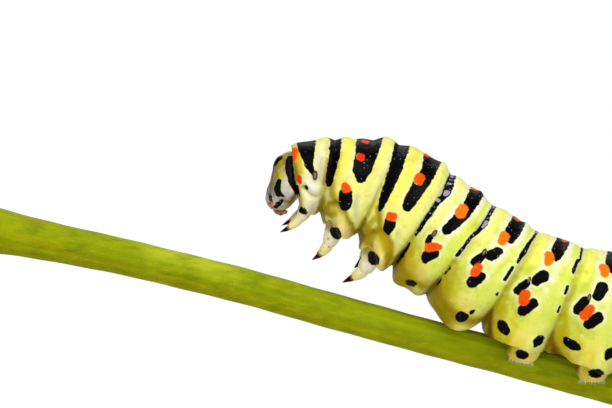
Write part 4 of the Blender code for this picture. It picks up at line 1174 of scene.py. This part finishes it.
BUMPS = (  # stroke, height and softness in mm; the first two are the seam
    (((0, 90, 0), (0, 60, 0), (0, 36, 0), (0, SEAM_SPLIT, 0)), -0.09, 0.08),
    (((0, SEAM_SPLIT, 0), (16, -8, 0), (SEAM_ARM, -36, 0)), -0.05, 0.06),
    (((66, -44, 0),), 0.06, 0.45), (((82, 2, 0), (72, -18, 0)), -0.06, 0.14),
    (((8, 32, 0), (8, 16, 0)), -0.11, 0.45), (((4, 0, 0), (4, -8, 0)), 0.06, 0.3),
    (((36, 48, 0),), 0.12, 0.26), (((16, 52, 0), (16, 40, 0)), 0.08, 0.3),
    (((46, -42, 0), (66, -56, 0)), 0.05, 0.2), (((92, -30, 0), (118, -18, 0)), -0.07, 0.13),
)
CROWN_DIP, CROWN_DIP_SPREAD = 0.1, 9  # the top is notched between its two lobes: mm and degrees
HEAD_INSET, PITTING, PITTING_PITCH = 0.02, 0.006, 2.2
HEAD_ROWS, HEAD_COLUMNS = 210, 300
heights = np.linspace(-90, 90, HEAD_ROWS)
azimuths = np.linspace(-180, 180, HEAD_COLUMNS, endpoint=False)
high, around = np.meshgrid(heights, azimuths, indexing="ij")
egg = head_point(around, high)
form = raised(BUMPS, lambda stroke: on_head(stroke, egg))
form -= CROWN_DIP * bell(around / CROWN_DIP_SPREAD) * np.clip(high / 60, 0, 1)
points = head_point(around, high, form - HEAD_INSET)
points = points + PITTING * unevenness(points * PITTING_PITCH)[..., None]
HEAD_BLACK = (
    ((84, 56, 0.2), (84, 42, 0.28), (86, 33, 0.28), (89, 24, 0.26), (96, 13, 0.24), (108, 5, 0.22),
     (120, -2, 0.2), (136, -9, 0.14)),
    ((59, 12, 0.19), (54.5, 3, 0.3), (59, -7, 0.25)),
    ((62, -9, 0.17), (76, -15.5, 0.07)),
    ((26, 57, 0.12), (44, 56, 0.12)), ((12, 50, 0.2), (37, 51, 0.27)), ((14, 43, 0.22), (34, 44, 0.22)),
    ((16, 40, 0.14), (22, 35, 0.1)),
    ((5, 40, 0.07), (3, 20, 0.05), (3, 0, 0.06)),
    ((31, -13, 0.15), (40, -24, 0.2), (47, -31, 0.12)),
    ((79, -30, 0.11), (70, -40, 0.17), (58, -52, 0.16)),
    ((6, -8, 0.08), (0, 0, 0.14)),
)
head_black = np.max([on_head(stroke, points) for stroke in HEAD_BLACK], axis=0)
HEAD_WASHES = (
    (((70, 62, 0.5), (50, 54, 0.4)), (150, 142, 24), 0.16, 0.9),
    (((50, 50, 0.3), (50, 38, 0.32), (54, 28, 0.28), (56, 19, 0.16)), (160, 147, 8), 0.14, 0.96),
    (((66, 52, 0.14), (70, 38, 0.15), (72, 30, 0.12)), (146, 124, 46), 0.1, 0.9),
    (((72, 28, 0.12), (73, 18, 0.12)), (188, 172, 96), 0.12, 0.9),
    (((62, 27, 0.1), (64, 19, 0.14)), (214, 192, 26), 0.1, 0.95),
    (((24, 42, 0.34), (30, 24, 0.4), (32, 4, 0.36), (28, -8, 0.22)), (128, 112, 78), 0.16, 0.95),
    (((42, 32, 0.14), (45, 20, 0.17), (47, 9, 0.12)), (144, 133, 24), 0.1, 0.9),
    (((10, 34, 0.12), (10, 4, 0.16)), (84, 64, 66), 0.12, 0.85),
    (((16, -4, 0.2), (24, -14, 0.14)), (140, 122, 128), 0.1, 0.85),
    (((46, -8, 0.14), (50, -17, 0.1)), (146, 118, 92), 0.08, 0.85),
    (((78, 22, 0.16), (82, 4, 0.3), (98, -8, 0.22)), (212, 206, 186), 0.16, 0.92),
    (((78, -12, 0.14), (102, -17, 0.14)), (188, 174, 174), 0.1, 0.85),
    (((66, -20, 0.1), (82, -24, 0.12)), (150, 134, 118), 0.08, 0.85),
    (((54, -20, 0.12), (62, -22, 0.08)), (182, 164, 160), 0.07, 0.9),
    (((82, -31, 0.1), (100, -34, 0.13), (124, -34, 0.18)), (142, 104, 44), 0.08, 0.9),
    (((120, -12, 0.14), (128, -34, 0.22), (160, -58, 0.24)), (124, 84, 12), 0.12, 0.92),
    (((104, -48, 0.16), (78, -54, 0.13)), (166, 156, 156), 0.1, 0.9),
    (((44, -38, 0.1), (47, -56, 0.1)), (222, 158, 92), 0.05, 0.95),
    (((28, -40, 0.14), (30, -56, 0.12)), (128, 98, 100), 0.08, 0.85),
    (((20, -76, 0.12), (90, -84, 0.12), (170, -80, 0.12)), (164, 130, 96), 0.1, 0.9),
)
chart = np.full((*high.shape, 3), (204.0, 198.0, 172.0))
for stroke, *wash in HEAD_WASHES:
    chart = washed(chart, on_head(stroke, points), *wash)
head = lofted("head_capsule", points * MM, tone=linear(chart), black=head_black)
shell, tree, shader, place = finish_of(
    "head_shell", 0.34, Specular_IOR_Level=0.08, Subsurface_Weight=0.08, Subsurface_Scale=0.4 * MM
)
blotches = speckle(tree, place, 0.3, 4.0)
ground = glazed(
    tree, attribute(tree, "tone", "Color"),
    (blotches, 0.52, 0.78, 0.28, (240, 238, 236)),
    (blotches, 0.5, 0.25, 0.35, (130, 116, 40)),
)
ink = blended(tree, spread(tree, speckle(tree, place, 0.12), 0.55, 0.75), paint(4, 2, 4), paint(22, 14, 22))
colour = blended(tree, brushed_edge(tree, place, "black"), ground, ink)
feed(tree, shader, Base_Color=colour, Roughness=spread(tree, blotches, 0.3, 0.7, 0.3, 0.44))
pits = cells_of(tree, place, 0.11)["Distance"]
emboss(tree, shader, maths(tree, "ADD", pits, product(tree, blotches, 0.6)), 0.02)
end_piece(head, shell, "head_shell", "head")


# Six simple eyes sit in an arc low on each cheek. Each is a clear black bead set into the shell.
EYE_ARC = ((34, -13), (41, -23), (48, -31), (55, -47), (65, -40), (74, -30))
EYE_RADIUS = 0.075
glassy, tree, shader, place = finish_of("eye_bead", 0.08, IOR=1.5, Coat_Weight=0.6, Coat_Roughness=0.04)
colour = blended(tree, speckle(tree, place, 0.1), paint(14, 8, 8), paint(40, 26, 20))
feed(tree, shader, Base_Color=colour)
beads = []
for side in (1, -1):
    for azimuth, height in EYE_ARC:
        bpy.ops.mesh.primitive_uv_sphere_add(
            segments=20, ring_count=12, radius=EYE_RADIUS * MM,
            location=Vector(head_point(side * azimuth, height)) * MM,
        )
        beads.append(begin_piece("bead"))
eyes = join_all(beads, "eye_beads")
end_piece(eyes, glassy, "head_shell")


# The mouth is a small block of brown horn at the foot of the head: a notched lip over two jaws,
# two palps and a spinneret. The short three-jointed feelers stand beside it. The model maker
# casts them in tinted resin and glues them to the shell.
MOUTH_PARTS = (  # centre, half-sizes and tilt in degrees
    ((-11.71, 0.0, 24.17), (0.3, 0.46, 0.18), 46),
    ((-11.54, -0.3, 24.07), (0.24, 0.25, 0.17), 25), ((-11.54, 0.3, 24.07), (0.24, 0.25, 0.17), 25),
    ((-11.24, 0.0, 24.1), (0.22, 0.34, 0.14), -8),
    ((-11.46, -0.32, 23.97), (0.06, 0.06, 0.11), 20), ((-11.46, 0.32, 23.97), (0.06, 0.06, 0.11), 20),
    ((-11.34, 0.0, 23.96), (0.05, 0.05, 0.09), 20),
)
horn, tree, shader, place = finish_of("mouth_horn", 0.34, Specular_IOR_Level=0.5)
mottle = speckle(tree, place, 0.22, 3.0)
colour = blended(tree, spread(tree, mottle, 0.3, 0.7), paint(126, 66, 34), paint(226, 148, 84))
colour = glazed(tree, colour, (speckle(tree, place, 0.4, 1.0), 0.56, 0.66, 1.0, (52, 24, 20)))
feed(tree, shader, Base_Color=colour)
emboss(tree, shader, mottle, 0.02)
lumps = []
for centre, size, tilt in MOUTH_PARTS:
    bpy.ops.mesh.primitive_uv_sphere_add(
        segments=28, ring_count=16, radius=1.0, location=Vector(centre) * MM,
        rotation=(0, math.radians(tilt), 0), scale=Vector(size) * MM,
    )
    lumps.append(begin_piece("lump"))
mouth = join_all(lumps, "mouth_block")
end_piece(mouth, horn, "mouth_horn", "mouthparts")

ANTENNA_AZIMUTH, ANTENNA_HEIGHT, ANTENNA_AIM = 46, -38, (0.0, 0.55, 0.83)
FEELER_SHAPE = np.array((
    (-0.12, 0.0), (-0.12, 0.15), (0.04, 0.145), (0.07, 0.11), (0.1, 0.13), (0.24, 0.12), (0.26, 0.07),
    (0.29, 0.08), (0.38, 0.065), (0.4, 0.0),
))


def turned(root, aim, lateral, shape, columns):
    """Rings of a turned form along a straight line. The shape's rows hold reach and radius, in mm."""
    aim = aim / np.linalg.norm(aim)
    lateral = lateral - aim * (lateral @ aim)
    lateral = lateral / np.linalg.norm(lateral)
    other = np.cross(aim, lateral)
    turn = np.linspace(0, 2 * math.pi, columns, endpoint=False)
    ring_of = np.cos(turn)[:, None] * lateral + np.sin(turn)[:, None] * other
    return root + aim * shape[:, 0, None, None] + ring_of[None] * shape[:, 1, None, None]


for word, side in (("left", 1), ("right", -1)):
    root = head_point(side * ANTENNA_AZIMUTH, ANTENNA_HEIGHT)
    aim = np.array((-ANTENNA_AIM[0], -side * ANTENNA_AIM[1], -ANTENNA_AIM[2]))
    points = turned(root, aim, np.array((0.0, 1.0, 0.0)), FEELER_SHAPE, 24)
    feeler = lofted(f"feeler_{word}", points * MM)
    end_piece(feeler, horn, "mouth_horn", f"antenna_{word}", smooth=50)


# Three pairs of walking legs: jointed cones of pale horn, each with a black patch outside its
# root, a brown ring at the last joint and a black claw. They are cast in tinted resin, painted
# and glued into hollows of the skin.
LEFT_LEGS = (
    ((-9.5, -0.9, 24.7), (-10.31, -0.98, 23.6), (-10.97, -0.88, 23.09), (-11.5, -0.8, 22.84)),
    ((-7.98, -1.58, 23.22), (-8.52, -1.38, 22.02), (-8.97, -1.15, 21.47), (-9.5, -1.0, 21.12)),
    ((-5.55, -1.95, 21.6), (-6.36, -1.58, 20.42), (-6.97, -1.25, 20.03), (-7.62, -1.1, 19.72)),
)
LEG_GIRTHS = (0.8, 1.0, 1.08)
ROOT_TAPERS = (0.65, 0.0, 0.0)
RIGHT_LEGS = (
    ((-9.45, 0.9, 25.12), (-10.21, 0.98, 24.02), (-10.87, 0.88, 23.51), (-11.4, 0.8, 23.26)),
    ((-7.6, 1.62, 23.65), (-8.26, 1.38, 22.36), (-8.7, 1.15, 21.86), (-9.2, 1.0, 21.52)),
    ((-5.7, 1.95, 22.45), (-6.04, 1.55, 21.56), (-6.32, 1.25, 21.06), (-6.86, 1.1, 20.56)),
)
LEG_PROFILE = np.array((  # joints from the root, radius in mm
    (-0.5, 0.0), (-0.5, 0.66), (0.0, 0.66), (0.22, 0.63), (0.45, 0.56), (0.55, 0.5), (0.62, 0.52),
    (0.85, 0.44), (0.97, 0.375), (1.03, 0.345), (1.12, 0.365), (1.5, 0.325), (1.85, 0.255), (1.96, 0.21),
    (2.03, 0.185), (2.12, 0.195), (2.35, 0.15), (2.6, 0.1), (2.85, 0.05), (2.97, 0.022), (3.0, 0.0),
))
LEG_STEPS, LEG_SIDES = 64, 40
LEG_BEND, TAPER_REACH = 0.22, 0.3  # of the bends and of the root's taper, in joints
pale, tree, shader, place = finish_of(
    "leg_horn", 0.34, Subsurface_Weight=0.15, Subsurface_Scale=0.4 * MM,
    Subsurface_Radius=(1.0, 0.8, 0.4), Specular_IOR_Level=0.11,
)
mottle = speckle(tree, place, 0.35)
waver = product(tree, maths(tree, "SUBTRACT", mottle, 0.5), 0.22)
joint = maths(tree, "ADD", attribute(tree, "joint"), waver)
colour = blended(tree, spread(tree, mottle, 0.35, 0.7), paint(246, 238, 222), paint(238, 228, 158))
colour = glazed(
    tree, colour,
    (joint, 0.9, 1.2, 0.6, (250, 236, 132)),
    # Painted shade: each leg's root is olive where it enters the skin.
    (joint, 0.5, 0.12, 0.85, (150, 126, 20)),
    (joint, 1.8, 1.98, 1.0, (190, 112, 32)),
    (joint, 2.02, 2.14, 1.0, (24, 10, 10)),
    (cells_of(tree, place, 0.62)["Distance"], 0.13, 0.09, 0.7, (150, 84, 40)),
)
colour = blended(tree, brushed_edge(tree, place, "black"), colour, paint(10, 6, 8))
feed(tree, shader, Base_Color=colour)
emboss(tree, shader, maths(tree, "ADD", mottle, product(tree, speckle(tree, place, 0.08), 0.3)), 0.03)


def on_path(path, stops):
    """Places along the line through a leg's joints, which starts one joint before its root."""
    return np.stack([np.interp(stops, np.arange(-1, 4), path[:, i]) for i in range(3)], -1)


def leg_rings(joints, girth, taper, spot):
    """Rings of a leg through its four joints, with how far along it each point lies and how far
    inside the black spot on its root."""
    joints = np.array(joints)
    stops = np.concatenate((LEG_PROFILE[:2, 0], np.linspace(-0.45, 3.0, LEG_STEPS)))
    radii = np.interp(stops, LEG_PROFILE[1:, 0], LEG_PROFILE[1:, 1])
    radii = radii * girth * (1 - taper * bell(np.maximum(stops, 0) / TAPER_REACH))
    radii[0], radii[-1] = 0.0, 0.0
    path = np.vstack((joints[0] + (joints[0] - joints[1]), joints))
    middles = sum(on_path(path, np.clip(stops + step, -1, 3)) for step in (-LEG_BEND, 0.0, LEG_BEND)) / 3
    middles[-3:] = on_path(path, stops[-3:])
    heading = np.gradient(middles, axis=0)
    heading[:2] = heading[2]
    heading /= np.linalg.norm(heading, axis=1)[:, None]
    outward = math.copysign(1.0, joints[0][1])
    lateral = np.array((0.0, outward, 0.0)) - heading * (heading[:, 1] * outward)[:, None]
    lateral /= np.linalg.norm(lateral, axis=1)[:, None]
    other = np.cross(heading, lateral)
    turn = np.linspace(-math.pi, math.pi, LEG_SIDES, endpoint=False)
    rings = middles[:, None] + radii[:, None, None] * (
        np.cos(turn)[None, :, None] * lateral[:, None] + np.sin(turn)[None, :, None] * other[:, None]
    )
    along = np.broadcast_to(stops[:, None], rings.shape[:2])
    x, z, half_wide, half_high, tilt = spot
    patch = oval(rings[..., 0] - x, z - rings[..., 2], half_wide, half_high, tilt)
    return rings, along, np.where(np.cos(turn)[None] > 0.0, patch, -1.0)


RIGHT_LEG_SPOTS = (
    (-10.0, 24.59, 0.33, 0.21, 42), (-7.9, 23.2, 0.34, 0.36, 0), (-6.35, 21.62, 0.34, 0.36, -20),
)
LEGS = (("left", LEFT_LEGS, LEG_SPOTS), ("right", RIGHT_LEGS, RIGHT_LEG_SPOTS))
for word, side_legs, spots in LEGS:
    for number, traits in enumerate(zip(side_legs, LEG_GIRTHS, ROOT_TAPERS, spots), start=1):
        points, along, patch = leg_rings(*traits)
        leg = lofted(f"walking_leg_{number}_{word}", points * MM, joint=along, black=patch)
        end_piece(leg, pale, "leg_horn", f"leg_{number}_{word}")


# A breathing hole opens on each side of the first ring and of the first eight of the abdomen: an
# oval rim of brown horn round a tan slit, set flush in the skin.
SPIRACLES = ((0.66, 92.5, 0.86), (3.33, 93, 0.72), (4.34, 80, 0.66), (5.27, 84.5, 0.62)) + tuple(
    (ring_index + 0.32, 84.0, 0.62 - 0.02 * (ring_index - 6)) for ring_index in range(6, 11)
)
HOLE_RADIUS, HOLE_RIM, HOLE_LIFT = 0.19, 0.06, 0.06  # of the rim's ring, its wire and its place
HOLE_OVAL, SLIT_SIZE = (0.78, 1.45, 1.0), (0.13, 0.25, 0.05)
rim_horn, tree, shader, place = finish_of("spiracle_rim", 0.3)
colour = blended(tree, speckle(tree, place, 0.08), paint(30, 12, 12), paint(84, 48, 34))
feed(tree, shader, Base_Color=colour)
slit_skin, tree, shader, place = finish_of("spiracle_slit", 0.5)
colour = blended(tree, speckle(tree, place, 0.06), paint(104, 62, 43), paint(168, 124, 84))
feed(tree, shader, Base_Color=colour)
rims, slits = [], []
for spot, turn_degrees, size in SPIRACLES:
    for side in (1, -1):
        heart, ahead, below = (
            skin(np.array(spot + step), np.array(side * math.radians(turn_degrees + swing)), HOLE_LIFT)
            for step, swing in ((0, 0), (0.02, 0), (0, 1.0))
        )
        lengthwise = Vector(ahead - heart).normalized()
        outward = lengthwise.cross(Vector(below - heart)).normalized()
        outward = outward if outward.y * side < 0 else -outward
        upright = outward.cross(lengthwise).normalized()
        frame_of = Matrix((lengthwise, upright, outward)).transposed().to_euler()
        centre = Vector(heart) * MM
        bpy.ops.mesh.primitive_torus_add(
            major_segments=36, minor_segments=12, major_radius=HOLE_RADIUS * MM * size,
            minor_radius=HOLE_RIM * MM * size, location=centre, rotation=frame_of,
        )
        bpy.context.object.scale = HOLE_OVAL
        rims.append(begin_piece("rim"))
        bpy.ops.mesh.primitive_uv_sphere_add(
            segments=24, ring_count=12, radius=1.0, location=centre, rotation=frame_of,
            scale=Vector(SLIT_SIZE) * MM * size,
        )
        slits.append(begin_piece("slit"))
rim = join_all(rims, "spiracle_rims")
end_piece(rim, rim_horn, "larva_skin")
slit = join_all(slits, "spiracle_slits")
end_piece(slit, slit_skin, "larva_skin")


# The studio: a pale paper floor that runs out to white and a white surround, lit by a large soft
# lamp above and in front, weaker ones from the right and low from the left, and one behind.
FLOOR_SIZE, FADE_START, FADE_END = 4.0, 0.07, 0.17  # in metres
bpy.ops.mesh.primitive_plane_add(size=FLOOR_SIZE, location=(0, 0, 0))
floor = begin_piece("studio_floor")
sweep, tree, shader, place = finish_of("studio_paper", 0.6)
shader.inputs["Base Color"].default_value = (*paint(240, 240, 238), 1.0)
distance = add_node(tree, "VectorMath", {0: place}, operation="LENGTH").outputs["Value"]
glow = add_node(tree, "Emission", {"Color": (1, 1, 1, 1), "Strength": 1.0}).outputs[0]
fade = spread(tree, distance, FADE_START, FADE_END)
faded = add_node(tree, "MixShader", {0: fade, 1: shader.outputs[0], 2: glow})
tree.links.new(faded.outputs[0], tree.nodes["Material Output"].inputs["Surface"])
floor.data.materials.append(sweep)

LAMPS = (  # name, place and aim in mm, width in mm, watts
    ("key_lamp", (20, -150, 215), (-6, 0, 22), 190, 0.42),
    ("fill_lamp", (110, -200, 50), (-4, 0, 20), 170, 0.05),
    ("low_lamp", (-110, -200, 22), (-6, 0, 22), 130, 0.085),
    ("rim_lamp", (10, 150, 200), (-6, 0, 22), 140, 0.08),
)
for name, spot, target, width, watts in LAMPS:
    lamp = bpy.data.lights.new(name, "AREA")
    lamp.size = width * MM
    lamp.energy = watts
    holder = bpy.data.objects.new(name, lamp)
    bpy.context.scene.collection.objects.link(holder)
    holder.location = Vector(spot) * MM
    holder.rotation_euler = (Vector(target) - Vector(spot)).to_track_quat("-Z", "Y").to_euler()
    holder.visible_camera = False

surround = bpy.data.worlds.new("white_surround")
surround.use_nodes = True
tree = surround.node_tree
backdrop = tree.nodes["Background"]
backdrop.inputs["Color"].default_value = (1, 1, 1, 1)
seen = add_node(tree, "LightPath").outputs["Is Camera Ray"]
tree.links.new(spread(tree, seen, 0.0, 1.0, 0.24, 1.0), backdrop.inputs["Strength"])
bpy.context.scene.world = surround
bpy.context.scene.view_settings.view_transform = "Standard"

# The camera looks level at the larva's left side, from close by with a long lens.
VIEW_MIDDLE, VIEW_DISTANCE, VIEW_WIDTH = (-9.875, 0.0, 24.6), 200.0, 38.25
lens = bpy.data.cameras.new("portrait_lens")
lens.sensor_width = 36.0
lens.lens = 36.0 * VIEW_DISTANCE / VIEW_WIDTH
lens.clip_start = 0.01
camera = bpy.data.objects.new("portrait_camera", lens)
camera.location = (Vector(VIEW_MIDDLE) - Vector((0, VIEW_DISTANCE, 0))) * MM
camera.rotation_euler = (math.radians(90), 0, 0)
bpy.context.scene.collection.objects.link(camera)
bpy.context.scene.camera = camera
